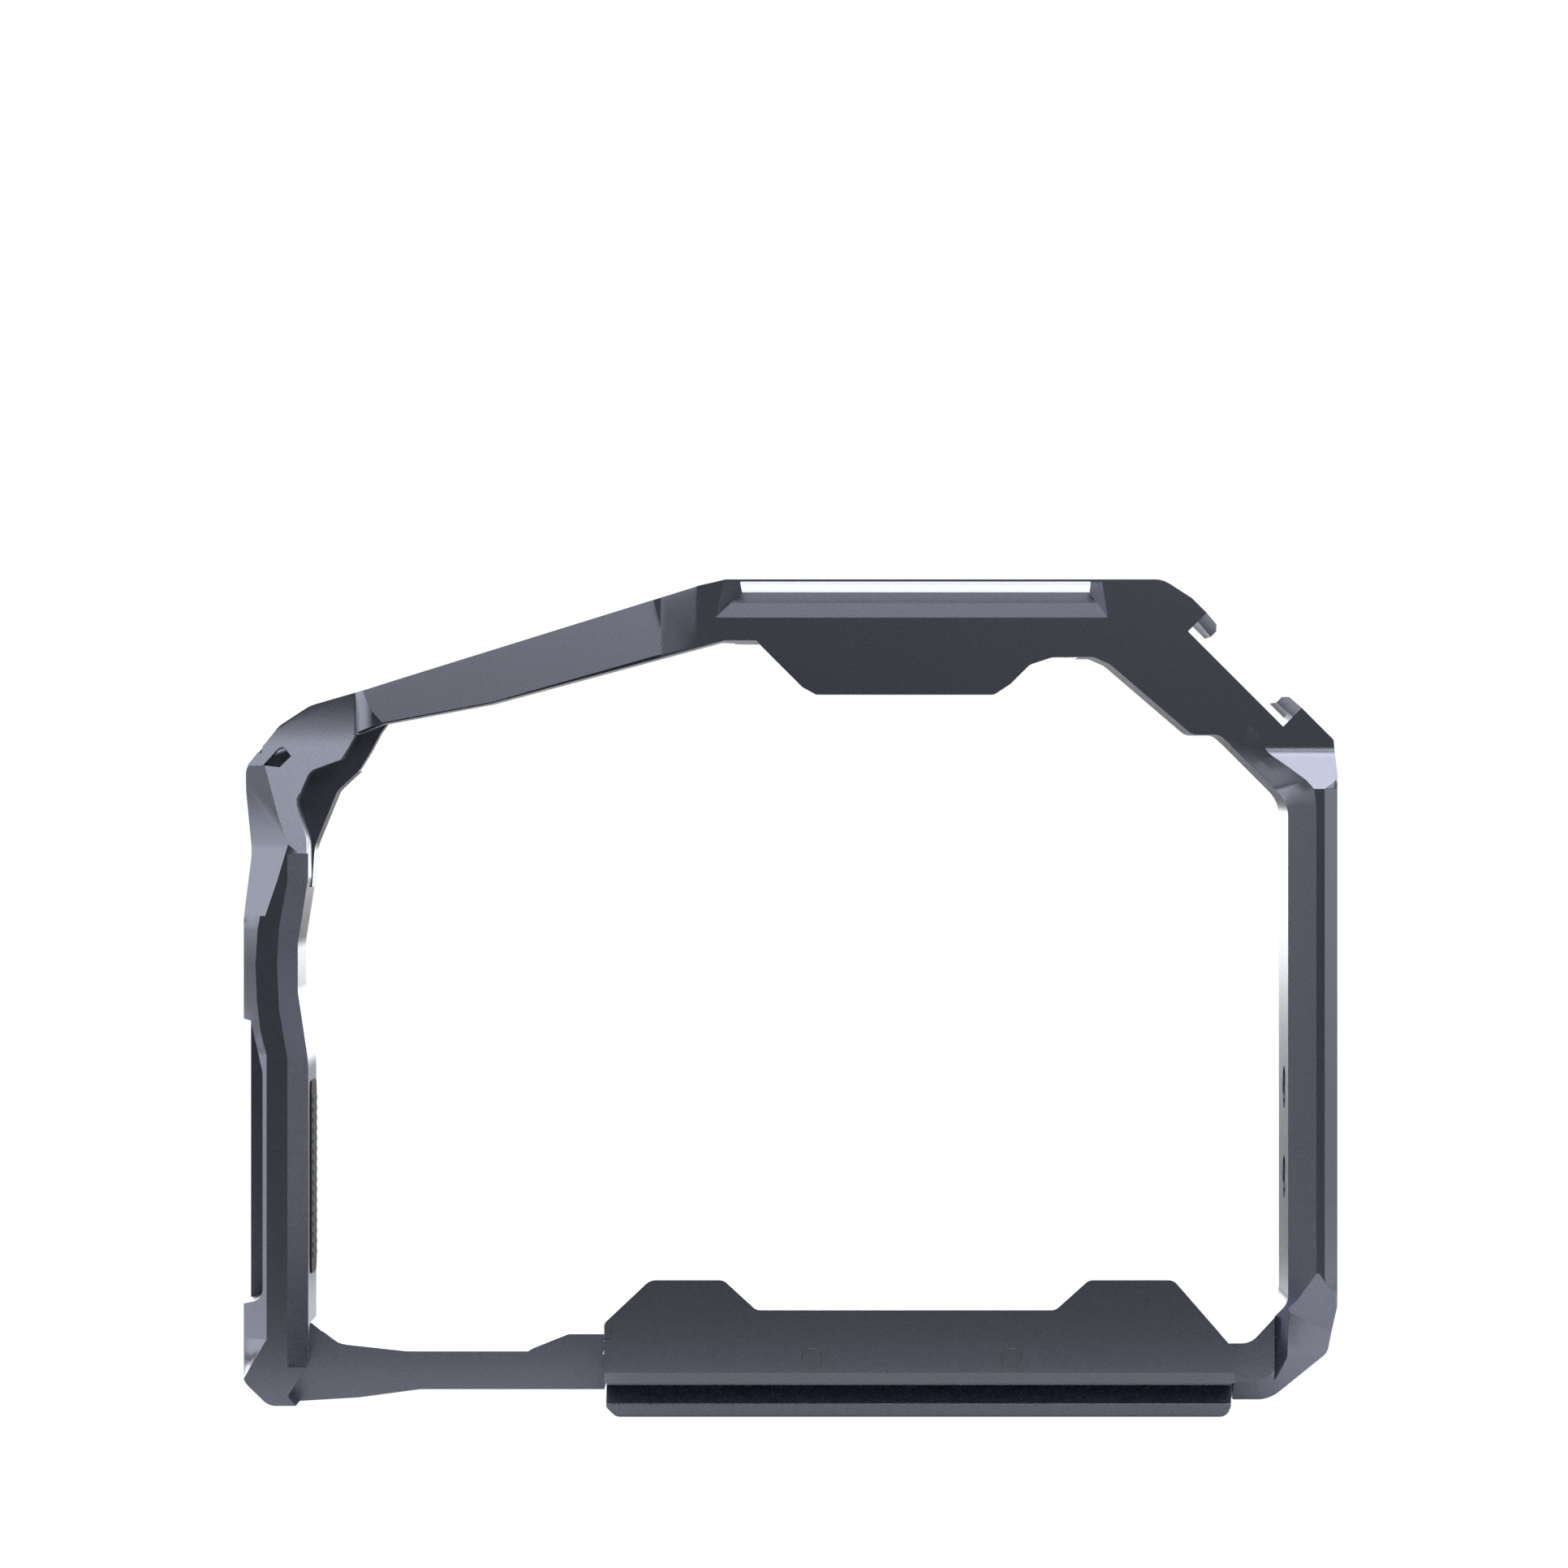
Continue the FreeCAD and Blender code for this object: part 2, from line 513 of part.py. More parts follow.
def corner_lean():
    """Cutter that leans the top corner's front back, from a slanted line up to the bend and the seam."""
    low = (LEFT_X + LEAN_FROM[0], TOP_Z - LEAN_FROM[1])
    high = (LEFT_X + LEAN_TO[0], TOP_Z - LEAN_TO[1])
    bend_z = TOP_Z - LEAN_BEND_DROP
    line = (high[0] - low[0], high[1] - low[1])
    seam = (POST_SEAM_X - low[0], bend_z - low[1])
    # fall = a * dx + b * dz is nothing along the slanted line and reaches the seam's depth at the bend
    b = (POST_SEAM_Y - POST_FRONT_Y) / (seam[1] - seam[0] * line[1] / line[0])
    a = -b * line[1] / line[0]

    def depth(x, z):
        return POST_FRONT_Y + a * (x - low[0]) + b * (min(z, bend_z) - low[1])

    left, right = LEFT_X - 6.0, POST_SEAM_X + PAST
    sections = []
    for z in (low[1] - 6.0, bend_z, TOP_Z):
        sections.append([(left, depth(left, z), z), (right, depth(right, z), z),
                         (right, POST_FRONT_Y - 12.0, z), (left, POST_FRONT_Y - 12.0, z)])
    return ruled(sections[:2]).fuse(ruled(sections[1:]))


# Top plate

def top_plate():
    under = TOP_Z - PLATE_THICK
    arm_end_z = TOP_Z - ARM_END_DROP
    arm_top = arm_end_z + ARM_TOP_SLOPE * (PLATEAU_LEFT_X - ARM_KINK - POST_SEAM_X)
    lip = SHOE_HIGH + SHOE_LIP_THICK
    right = [(PLATEAU_RIGHT_X - 1.0, TOP_Z), (SHOULDER_TOP_X, TOP_Z, 4.0), shoe(-3.0, lip),
             shoe(SHOE_LIP - SHOE_LIP_BREAK, lip), shoe(SHOE_LIP, lip - SHOE_LIP_BREAK), shoe(SHOE_LIP, SHOE_HIGH),
             shoe(0.0, SHOE_HIGH), shoe(0.0, 0.0), shoe(SHOE_SEAM_U, 0.0), shoe(SHOE_SEAM_U, -CORNER_THICK)]
    right += place_drops(SHOULDER, 0.0)
    arm = [(POST_SEAM_X, arm_end_z - ARM_END_THICK)] + place_drops(ARM_UNDER, POST_SEAM_X)
    arm += [(PLATEAU_LEFT_X, under), (-12.0, under), (-12.0, TOP_Z), (PLATEAU_LEFT_X, TOP_Z, 3.0),
            (PLATEAU_LEFT_X - ARM_KINK, arm_top, 4.0), (POST_SEAM_X, arm_end_z)]
    shoulder = [(PLATEAU_RIGHT_X - 3.0, right[-1][1]), (PLATEAU_RIGHT_X - 3.0, TOP_Z)] + right
    body = front_slab(arm, PLATE_FRONT_Y, ARM_BACK_Y)
    body = body.fuse(front_slab(shoulder, PLATE_FRONT_Y, POST_BACK_Y))

    (wide_left, wide_right), (left, right_x) = PLATEAU_SPREAD
    plateau = [(wide_left, PLATE_FRONT_Y), (wide_left, ARM_BACK_Y, 4.0), (left, PLATEAU_STEP_Y, 4.0),
               (left, PLATE_BACK_Y, 3.0), (right_x, PLATE_BACK_Y, 3.0), (right_x, PLATEAU_STEP_Y, 3.0),
               (wide_right, POST_BACK_Y, 2.0), (wide_right, PLATE_FRONT_Y)]
    body = body.fuse(flat_slab(plateau, under, TOP_Z))
    skirt = place_drops(SKIRT, 0.0)
    skirt = [(skirt[0][0], under + PAST)] + skirt + [(skirt[-1][0], under + PAST)]
    body = body.fuse(front_slab(skirt, PLATE_FRONT_Y, PLATE_FRONT_Y + SKIRT_THICK)).removeSplitter()

    channel = front_slab([(-CHANNEL_HALF, under - 3.0), (CHANNEL_HALF, under - 3.0),
                          (CHANNEL_HALF, under + CHANNEL_DEEP, 1.0), (-CHANNEL_HALF, under + CHANNEL_DEEP, 1.0)],
                         PLATE_FRONT_Y + SKIRT_THICK, PLATE_BACK_Y + PAST)
    window = flat_slab([(-WINDOW_HALF, PLATE_BACK_Y + PAST), (-WINDOW_HALF, WINDOW_FRONT_Y, 2.5),
                        (WINDOW_HALF, WINDOW_FRONT_Y, 2.5), (WINDOW_HALF, PLATE_BACK_Y + PAST)],
                       under - PAST, TOP_Z + PAST)
    low, high = (TOP_Z - drop for drop in BAND_DROPS)
    band_back, brow_back = PLATE_FRONT_Y + BAND_FALL, PLATE_FRONT_Y + BROW_FALL
    cutters = [channel, window, arm_front(),
               band(BAND_ENDS[:2], (low, high), (PLATE_FRONT_Y, band_back)),
               band(BAND_ENDS[1:], (high, TOP_Z), (band_back, brow_back)),
               lead_in(SHOE_LIP, 0.0, PLATE_FRONT_Y)]
    for x, y in TOP_TAPS:
        cutters.append(rod((x, y, under - PAST), (x, y, TOP_Z + PAST), TAP_QUARTER_R))
    x, y = LOCATE_AT
    cutters.append(rod((x, y, under - PAST), (x, y, TOP_Z + PAST), TAP_THREE_EIGHT_R))
    for step in (-LOCATE_STEP, LOCATE_STEP):
        at = y + step if step < 0 else y + step * 0.8
        cutters.append(rod((x, at, TOP_Z - LOCATE_DEEP), (x, at, TOP_Z + PAST), LOCATE_R))
    cutters += [screw_hole(*seat) for seat in top_left_seats() + top_right_seats()]
    cutters += top_left_dowels().Solids + top_right_dowels().Solids
    return opened(body, cutters)


def arm_front():
    """Cutter that tilts the arm's front and draws it back to the seam."""
    reach = PLATEAU_LEFT_X - ARM_KINK - POST_SEAM_X
    sections = []
    for share in (-0.05, 0.12, 1.0):
        x = POST_SEAM_X + share * reach
        low = TOP_Z - ARM_END_DROP - ARM_END_THICK + share * reach * 0.26
        high = TOP_Z - ARM_END_DROP + share * reach * ARM_TOP_SLOPE
        front = POST_SEAM_Y - ARM_TILT / 2 if share < 0.1 else PLATE_FRONT_Y
        a, b = (x, front, low), (x, front + ARM_TILT, high)
        sections.append([between(a, b, -1.5), between(a, b, 2.0), (x, PLATE_FRONT_Y - 8.0, between(a, b, 2.0)[2]),
                         (x, PLATE_FRONT_Y - 8.0, between(a, b, -1.5)[2])])
    return ruled(sections)


def band(ends, heights, depths):
    """Sloped cut along the plateau's front edge. ends gives the reach of its lower and its upper border."""
    sections = []
    for low_x, high_x in zip(*ends):
        a = (low_x, depths[0], heights[0])
        b = (high_x, depths[1], heights[1])
        below, above = between(a, b, -0.4), between(a, b, 1.4)
        sections.append([below, above, (low_x, below[1], above[2])])
    return ruled(sections)


# Plain side post with the bottom rail, in one L

def side_frame():
    lip = SHOE_HIGH + SHOE_LIP_THICK
    corner = shoe(0.0, lip)
    seam_out, seam_in = shoe(SHOE_SEAM_U, 0.0), shoe(SHOE_SEAM_U, -CORNER_THICK)
    turn_z = corner[0] + corner[1] - (RIGHT_X - 0.5)
    inner_z = seam_in[0] + seam_in[1] - SIDE_IN_X
    kink_z = TOP_Z - SIDE_KINK_DROP
    foot_x, foot_z = SIDE_INNER_FOOT
    tip = SHOE_WIDE - SHOE_LIP
    post = [seam_out, shoe(SHOE_WIDE, 0.0), shoe(SHOE_WIDE, SHOE_HIGH), shoe(tip, SHOE_HIGH),
            shoe(tip, lip - SHOE_LIP_BREAK), shoe(tip + SHOE_LIP_BREAK, lip),
            (RIGHT_X - 0.5, turn_z, 0.8), (RIGHT_X, kink_z + 1.2, 3.0), (RIGHT_X, 15.8, 6.0), (60.3, 8.8, 2.0),
            (52.0, SIDE_FOOT_Z, 5.0), (foot_x, SIDE_FOOT_Z), (foot_x, foot_z), (foot_x + 4.0, foot_z, 3.0),
            (SIDE_IN_X, 16.2, 3.0), (SIDE_IN_X, inner_z, 5.0), seam_in]
    body = front_slab(post, SIDE_FRONT_Y, POST_BACK_Y)

    flat_y = SIDE_FRONT_Y + SIDE_FALL
    far = SIDE_FRONT_Y - 5.0
    lean = side_slab([(SIDE_FRONT_Y - 2, kink_z - SIDE_LEAN_RISE / 1.5), (SIDE_FRONT_Y, kink_z),
                      (PLATE_FRONT_Y, kink_z + SIDE_LEAN_RISE, 3.0), (PLATE_FRONT_Y, TOP_Z),
                      (SIDE_FRONT_Y - 2, TOP_Z)], 30.0, 70.0)
    low_lean = side_slab([(SIDE_FRONT_Y - 2, SIDE_LOW_FLAT_Z + 4.0), (SIDE_FRONT_Y, SIDE_LOW_FLAT_Z + 2.2),
                          (flat_y, SIDE_LOW_FLAT_Z - 1.5, 2.0), (flat_y, 0.0), (SIDE_FRONT_Y - 2, 0.0)], 40.0, 70.0)
    inner = [((SIDE_IN_X + SIDE_CHAMFER_IN, SIDE_FRONT_Y, z), (SIDE_IN_X, flat_y, z))
             for z in (4.0, kink_z - 2.5)]
    inner.append(((56.9, -18.3, kink_z + 1.3), (53.4, -15.4, kink_z + 0.6)))
    inner.append(((50.6, PLATE_FRONT_Y, kink_z + 7.4), (seam_in[0] + 0.2, -14.0, seam_in[1] + 0.6)))
    inner.append(((47.6, PLATE_FRONT_Y, kink_z + 10.4), (seam_in[0] - 3.0, -14.0, seam_in[1] + 3.8)))
    outer = [(z, RIGHT_X - wide, RIGHT_X, SIDE_FALL)
             for z, wide in ((14.0, 0.2), (20.0, SIDE_CHAMFER_OUT), (60.0, SIDE_CHAMFER_OUT),
                             (kink_z, SIDE_CHAMFER_OUT), (kink_z + 1.5, 0.2))]
    corner_skirt = [((58.7, SIDE_FRONT_Y, 20.6), (61.9, -16.8, 16.2)), ((54.6, flat_y, 14.9), (61.4, -13.6, 11.5)),
                    ((54.2, flat_y, 8.5), (60.4, -12.9, 8.7)), ((51.6, flat_y, 5.6), (54.8, -12.9, 4.2)),
                    ((49.6, flat_y, 4.9), (51.2, -13.0, 1.5)), ((44.0, flat_y, 4.7), (44.0, -13.2, 1.5))]
    body = opened(body, [lean, low_lean, slanted(inner, far), facet(outer, SIDE_FRONT_Y),
                         slanted(corner_skirt, far), lead_in(tip, SHOE_WIDE, PLATE_FRONT_Y)])
    body = body.fuse(bottom_rail()).removeSplitter()

    foot_left, foot_right = FOOT_LEFT_X - RAIL_OVER, FOOT_RIGHT_X + RAIL_OVER
    wall_back = WALL_FRONT_Y + WALL_THICK + TONGUE_GAP
    tongue = box(foot_left, TONGUE_RIGHT_X, wall_back, TONGUE_BACK_Y, FOOT_TOP_Z, SEAT_Z - PAD_PROUD)
    body = body.fuse(tongue)
    cutters = [box(foot_left, foot_right, WALL_FRONT_Y, RAIL_BACK_Y + 8.0, 0.0, FOOT_TOP_Z),
               box(40.0, foot_right, WALL_FRONT_Y - PAST, wall_back, 0.0, WALL_RIGHT_Z + 0.4),
               rod((0, 0, 0), (0, 0, 20), CLIP_WELL_R)]
    cutters += [screw_hole(*seat) for seat in top_right_seats() + bottom_left_seats() + foot_seats()]
    cutters += [screw_hole(*seat, open_by=30.0) for seat in top_right_seats()]
    cutters += bottom_left_dowels().Solids + top_right_dowels().Solids + foot_dowels().Solids
    cutters += [pad_shape(x0, x1, 3.0) for x0, x1 in PAD_SPANS]
    for z in SIDE_TAPS_Z:
        cutters.append(rod((SIDE_IN_X - PAST, SIDE_TAPS_Y, z), (RIGHT_X + PAST, SIDE_TAPS_Y, z), TAP_QUARTER_R))
    return opened(body, cutters)


def bottom_rail():
    """Rail along the bottom with the raised rib beside the foot."""
    seat, end = SEAT_Z - PAD_PROUD, FOOT_LEFT_X - RAIL_OVER
    foot_z = SIDE_INNER_FOOT[1]
    rail = [(TONGUE_RIGHT_X, RAIL_LOW_Z), (TONGUE_RIGHT_X, foot_z), (FOOT_RIGHT_X - 2.0, seat), (end, seat),
            (end, RAIL_HIGH_Z), *RAIL_RISE] + foot_seam()
    rail += [(RAIL_NOSE_X, RAIL_NOSE_Z, 8.0), (RAIL_LEFT_X, RAIL_LOW_Z, 8.0)]
    trim = flat_slab([(LEFT_X, POST_BACK_Y), (TRIM_X[0], POST_BACK_Y, 4.0), (TRIM_X[1], RAIL_BACK_Y, 4.0),
                      (TRIM_X[1], RAIL_BACK_Y + 5), (LEFT_X, RAIL_BACK_Y + 5)], -PAST, 30.0)
    rib = front_slab([(RIB_X - RIB_RUN - 1.5, RAIL_HIGH_Z - 1.0), (RIB_X - RIB_RUN, RAIL_HIGH_Z + 0.3, 3.0),
                      (RIB_X, RIB_HIGH_Z, 1.5), (end, RIB_HIGH_Z), (end, RAIL_HIGH_Z - 1.0)],
                     RAIL_FRONT_Y, RAIL_FRONT_Y + RIB_THICK)
    return front_slab(rail, RAIL_FRONT_Y, RAIL_BACK_Y).cut(trim).fuse(rib)


def pad_shape(x0, x1, high):
    """Rounded rubber pad on the seat or the recess for it."""
    (y0, y1), z0 = PAD_DEPTHS, SEAT_Z - PAD_PROUD - PAD_SUNK
    return flat_slab([(x0, y0, PAD_CORNER), (x1, y0, PAD_CORNER), (x1, y1, PAD_CORNER), (x0, y1, PAD_CORNER)],
                     z0, z0 + high)


# Quick-release foot

def base_plate():
    half, groove = DOVETAIL_HALF, DOVETAIL_HALF - DOVETAIL_IN
    groove_low = DOVETAIL_LIP + DOVETAIL_IN
    wall_back = WALL_FRONT_Y + WALL_THICK
    profile = [(-half, 0.0, DOVETAIL_EDGE), (-half, DOVETAIL_LIP, DOVETAIL_EDGE), (-groove, groove_low),
               (-groove, GROOVE_TOP_Z), (WALL_FRONT_Y + WALL_SLOPE, GROOVE_TOP_Z), (WALL_FRONT_Y, WALL_CREASE_Z),
               (WALL_FRONT_Y, WALL_TAB_Z), (wall_back, WALL_TAB_Z), (wall_back, FOOT_TOP_Z),
               (half - FOOT_LEDGE, FOOT_TOP_Z), (half - FOOT_LEDGE, GROOVE_TOP_Z), (groove, GROOVE_TOP_Z),
               (groove, groove_low), (half, DOVETAIL_LIP, DOVETAIL_EDGE), (half, 0.0, DOVETAIL_EDGE)]
    body = side_slab(profile, FOOT_LEFT_X, FOOT_RIGHT_X)
    low_z = GROOVE_TOP_Z - 0.1
    wall = [(FOOT_LEFT_X, low_z), (FOOT_LEFT_X, WALL_LEFT_Z, 1.2), (WALL_TABS[0][0], WALL_TAB_Z, 2.0),
            (WALL_TABS[0][1], WALL_TAB_Z, 1.5), (WALL_MID[0], WALL_MID_Z, 1.5), (WALL_MID[1], WALL_MID_Z, 1.5),
            (WALL_TABS[1][0], WALL_TAB_Z, 1.5), (WALL_TABS[1][1], WALL_TAB_Z, 1.5),
            (FOOT_RIGHT_X, WALL_RIGHT_Z, 0.8), (FOOT_RIGHT_X, low_z)]
    low = [(FOOT_LEFT_X + 0.2, 6.0), (FOOT_LEFT_X + 0.2, 1.4, 0.6), (FOOT_LEFT_X + 1.6, 0.0, 1.5),
           (FOOT_RIGHT_X - 1.0, 0.0, 1.5), (FOOT_RIGHT_X - 0.3, 1.4, 0.8), (FOOT_RIGHT_X, 6.0)]
    across, along = FOOT_CORNER
    left, right, back, front = FOOT_LEFT_X - PAST, FOOT_RIGHT_X + PAST, half + PAST, WALL_FRONT_Y - PAST
    plan = flat_slab([(left, front), (left, back - along), (left + across + PAST, back),
                      (right - across - PAST, back), (right, back - along), (right, front)], -PAST, 30)
    keep = front_slab(wall, front, back).fuse(front_slab(low, front, back))
    body = body.common(keep).common(plan)
    wide, notch_low, notch_high, deep = WALL_NOTCH
    cutters = [rod((0, 0, -1), (0, 0, CAM_WEB_Z), CAM_HEAD_R + CAM_WELL_GAP),
               rod((0, 0, 0), (0, 0, 20), CAM_R + CAM_NECK_GAP),
               box(left, KEY_X1 + KEY_GAP, KEY_Y - KEY_HALF - KEY_GAP, KEY_Y + KEY_HALF + KEY_GAP,
                   -PAST, KEY_LOW_Z + KEY_THICK + KEY_GAP),
               box(left, FOOT_LEFT_X + wide, front, WALL_FRONT_Y + deep, notch_low, notch_high)]
    for x in MAGNETS_X:
        cutters.append(rod((x, KEY_Y, KEY_LOW_Z), (x, KEY_Y, KEY_LOW_Z + KEY_THICK + KEY_GAP + MAGNET_HIGH), MAGNET_R))
    cutters += [screw_hole(*seat, open_by=FOOT_ACCESS) for seat in foot_seats()]
    cutters += foot_dowels().Solids
    cutters += [rod((x, front, FRONT_PIN_Z), (x, wall_back + PAST, FRONT_PIN_Z), FRONT_PIN_R)
                for x in (-FRONT_PIN_X, FRONT_PIN_X)]
    cutters.append(rod((FOOT_TAP_X, 0, -PAST), (FOOT_TAP_X, 0, FOOT_TOP_Z - FOOT_TAP_ROOF), TAP_QUARTER_R))
    return opened(body, cutters)


# Small pieces

def front_pins():
    back = WALL_FRONT_Y + WALL_THICK - FRONT_PIN_SHORT
    return Part.makeCompound([rod((x, WALL_FRONT_Y, FRONT_PIN_Z), (x, back, FRONT_PIN_Z), FRONT_PIN_R)
                              for x in (-FRONT_PIN_X, FRONT_PIN_X)])


def left_pad():
    (y0, y1), low, high = LEFT_PAD_Y, LEFT_PAD_LOW_Z, TOP_Z - LEFT_PAD_HIGH_DROP
    return side_slab([(y0, low, PAD_CORNER), (y0, high, PAD_CORNER), (y1, high, PAD_CORNER), (y1, low, PAD_CORNER)],
                     POST_IN_X, POST_IN_X + SIDE_PAD_THICK)


def skirt_pad():
    back = PLATE_FRONT_Y + SKIRT_THICK
    (x0, x1), (low, high) = SKIRT_PAD_X, (TOP_Z - drop for drop in SKIRT_PAD_DROPS)
    return front_slab([(x0, low, 1.0), (x1, low, 1.0), (x1, high, 1.0), (x0, high, 1.0)],
                      back, back + SIDE_PAD_THICK)


def camera_screw():
    low = CAM_HEAD_LOW_Z
    tip = SEAT_Z + CAM_PROUD - CAM_TRAVEL
    head_top = low + CAM_HEAD_HIGH
    clip_low = FOOT_TOP_Z + CLIP_LIFT
    body = rod((0, 0, low), (0, 0, head_top), CAM_HEAD_R)
    body = body.fuse(rod((0, 0, head_top), (0, 0, clip_low), CAM_R - CAM_NECK_IN))
    body = body.fuse(rod((0, 0, clip_low), (0, 0, clip_low + CLIP_THICK), CAM_R - CAM_GROOVE_IN))
    body = body.fuse(rod((0, 0, clip_low + CLIP_THICK), (0, 0, tip - CAM_POINT), CAM_R))
    body = body.fuse(Part.makeCone(CAM_R, CAM_R - CAM_POINT, CAM_POINT, V(0, 0, tip - CAM_POINT)))
    slot = box(-CAM_HEAD_R - PAST, CAM_HEAD_R + PAST, *COIN_SLOT, low - PAST, low + COIN_SLOT_DEEP)
    bed = rod((0, 0, low - PAST), (0, 0, low + RING_BED), RING_OUT_R + RING_BED_GAP)
    core = rod((0, 0, low), (0, 0, low + RING_BED), RING_OUT_R - RING_WIRE - RING_CORE_GAP)
    core = core.cut(box(-10, 10, -10, RING_PIN_Y + RING_CORE_GAP, -5, 5))
    ear, pin_z = RING_PIN_HALF + RING_PIN_END, low + RING_PIN_UP
    ears = rod((-ear, RING_PIN_Y, pin_z), (ear, RING_PIN_Y, pin_z), RING_PIN_R + RING_PIN_GAP)
    return opened(body, [bed.cut(core), ears, slot])


def camera_screw_clip():
    low, groove = FOOT_TOP_Z + CLIP_LIFT, CAM_R - CAM_GROOVE_IN
    mouth = groove - 0.4
    return opened(rod((0, 0, low), (0, 0, low + CLIP_THICK), CLIP_R),
                  [rod((0, 0, low - PAST), (0, 0, low + 2 * PAST), groove + CLIP_GAP),
                   box(0, CLIP_R + PAST, -mouth, mouth, low - PAST, low + 2 * PAST)])


def camera_screw_ring():
    low, pin_z = CAM_HEAD_LOW_Z + RING_LIFT, CAM_HEAD_LOW_Z + RING_PIN_UP
    ring = rod((0, 0, low), (0, 0, low + RING_WIRE), RING_OUT_R)
    inside = rod((0, 0, low - PAST), (0, 0, low + 2 * PAST), RING_OUT_R - RING_WIRE)
    half = box(-10, 10, RING_PIN_Y, 10, low - PAST, low + 2 * PAST)
    pin = rod((-RING_PIN_HALF, RING_PIN_Y, pin_z), (RING_PIN_HALF, RING_PIN_Y, pin_z), RING_PIN_R)
    return ring.cut(inside).common(half).fuse(pin).removeSplitter()


def screwdriver_key():
    low, high = KEY_LOW_Z, KEY_LOW_Z + KEY_THICK
    y0, y1 = KEY_Y - KEY_HALF, KEY_Y + KEY_HALF
    wide_x, neck_x = (KEY_X1 - step for step in KEY_NECK)
    neck0, neck1 = KEY_Y - KEY_NECK_HALF, KEY_Y + KEY_NECK_HALF
    grip = flat_slab([(KEY_X0, y0, KEY_CORNER), (wide_x, y0, KEY_CORNER), (neck_x, neck0, KEY_CORNER),
                      (KEY_X1, neck0), (KEY_X1, neck1), (neck_x, neck1, KEY_CORNER), (wide_x, y1, KEY_CORNER),
                      (KEY_X0, y1, KEY_CORNER)], low, high)
    near, far = (KEY_X0 + step for step in KEY_EYE)
    side0, side1 = y0 + KEY_EYE[0], y1 - KEY_EYE[0]
    eye = flat_slab([(near, side0, KEY_EYE_CORNER), (far, side0, KEY_EYE_CORNER), (far, side1, KEY_EYE_CORNER),
                     (near, side1, KEY_EYE_CORNER)], low - PAST, high + PAST)
    long, thinned = KEY_BLADE
    below = box(KEY_X1 - long, KEY_X1 + PAST, y0, y1, low - PAST, low + thinned)
    above = box(KEY_X1 - long, KEY_X1 + PAST, y0, y1, high - thinned, high + PAST)
    return opened(grip, [eye, below, above])


def key_magnets():
    low = KEY_LOW_Z + KEY_THICK + KEY_GAP
    return Part.makeCompound([rod((x, KEY_Y, low), (x, KEY_Y, low + MAGNET_HIGH), MAGNET_R) for x in MAGNETS_X])


def build():
    os.makedirs("parts", exist_ok=True)
    pieces = {"left_post": left_post(), "top_plate": top_plate(), "side_frame": side_frame(),
              "base_plate": base_plate(), "front_pins": front_pins(),
              "top_left_screws": screw_group(top_left_seats()),
              "bottom_left_screws": screw_group(bottom_left_seats()),
              "top_right_screws": screw_group(top_right_seats()),
              "base_plate_screws": screw_group(foot_seats()),
              "top_left_dowels": top_left_dowels(), "bottom_left_dowels": bottom_left_dowels(),
              "top_right_dowels": top_right_dowels(), "base_plate_dowels": foot_dowels(),
              "base_pad_left": pad_shape(*PAD_SPANS[0], PAD_PROUD + PAD_SUNK),
              "base_pad_right": pad_shape(*PAD_SPANS[1], PAD_PROUD + PAD_SUNK),
              "left_pad": left_pad(), "skirt_pad": skirt_pad(),
              "camera_screw": camera_screw(), "camera_screw_clip": camera_screw_clip(),
              "camera_screw_ring": camera_screw_ring(), "screwdriver_key": screwdriver_key(),
              "key_magnets": key_magnets()}
    for name, shape in pieces.items():
        write(name, shape)


build()
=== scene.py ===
import json
import logging
import math
from dataclasses import dataclass, field
from enum import Enum
from functools import partial
from typing import Callable, Sequence

import bpy
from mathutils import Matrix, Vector


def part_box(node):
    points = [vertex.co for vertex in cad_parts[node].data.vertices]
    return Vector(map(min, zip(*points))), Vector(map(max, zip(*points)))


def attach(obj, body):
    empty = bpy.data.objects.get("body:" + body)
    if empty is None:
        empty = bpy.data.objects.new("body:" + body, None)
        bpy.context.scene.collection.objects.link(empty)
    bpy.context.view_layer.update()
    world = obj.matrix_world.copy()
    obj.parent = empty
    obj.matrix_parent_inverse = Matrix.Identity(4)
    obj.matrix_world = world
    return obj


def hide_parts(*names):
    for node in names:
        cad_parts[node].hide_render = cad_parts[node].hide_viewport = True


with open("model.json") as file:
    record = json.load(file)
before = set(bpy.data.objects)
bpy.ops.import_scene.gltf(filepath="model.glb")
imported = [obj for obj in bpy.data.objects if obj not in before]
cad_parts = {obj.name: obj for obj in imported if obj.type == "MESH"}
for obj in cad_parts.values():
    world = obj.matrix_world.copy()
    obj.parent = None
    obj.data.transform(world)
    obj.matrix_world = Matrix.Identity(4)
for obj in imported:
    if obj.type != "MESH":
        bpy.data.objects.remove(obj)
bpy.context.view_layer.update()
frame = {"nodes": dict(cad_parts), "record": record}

LOG = logging.getLogger("camera_cage")
MM = 0.001


class Body(Enum):
    """Bodies that a piece can ride on."""

    FRAME = "frame"
    CARRIER = "screw_carrier"
    SCREW = "screw"
    RING = "ring"
    KEY = "key"


class Slot(Enum):
    """Material slots of the record."""

    ANODISED = "anodised"
    DARK_STEEL = "dark_steel"
    STEEL = "steel"
    RUBBER = "rubber"
    MAGNET = "magnet"


class Axis(Enum):
    """Main directions, each with the rotation that turns +Z onto it."""

    X = (0.0, math.radians(90.0), 0.0)
    Y = (math.radians(-90.0), 0.0, 0.0)
    Z = (0.0, 0.0, 0.0)


# Finishes

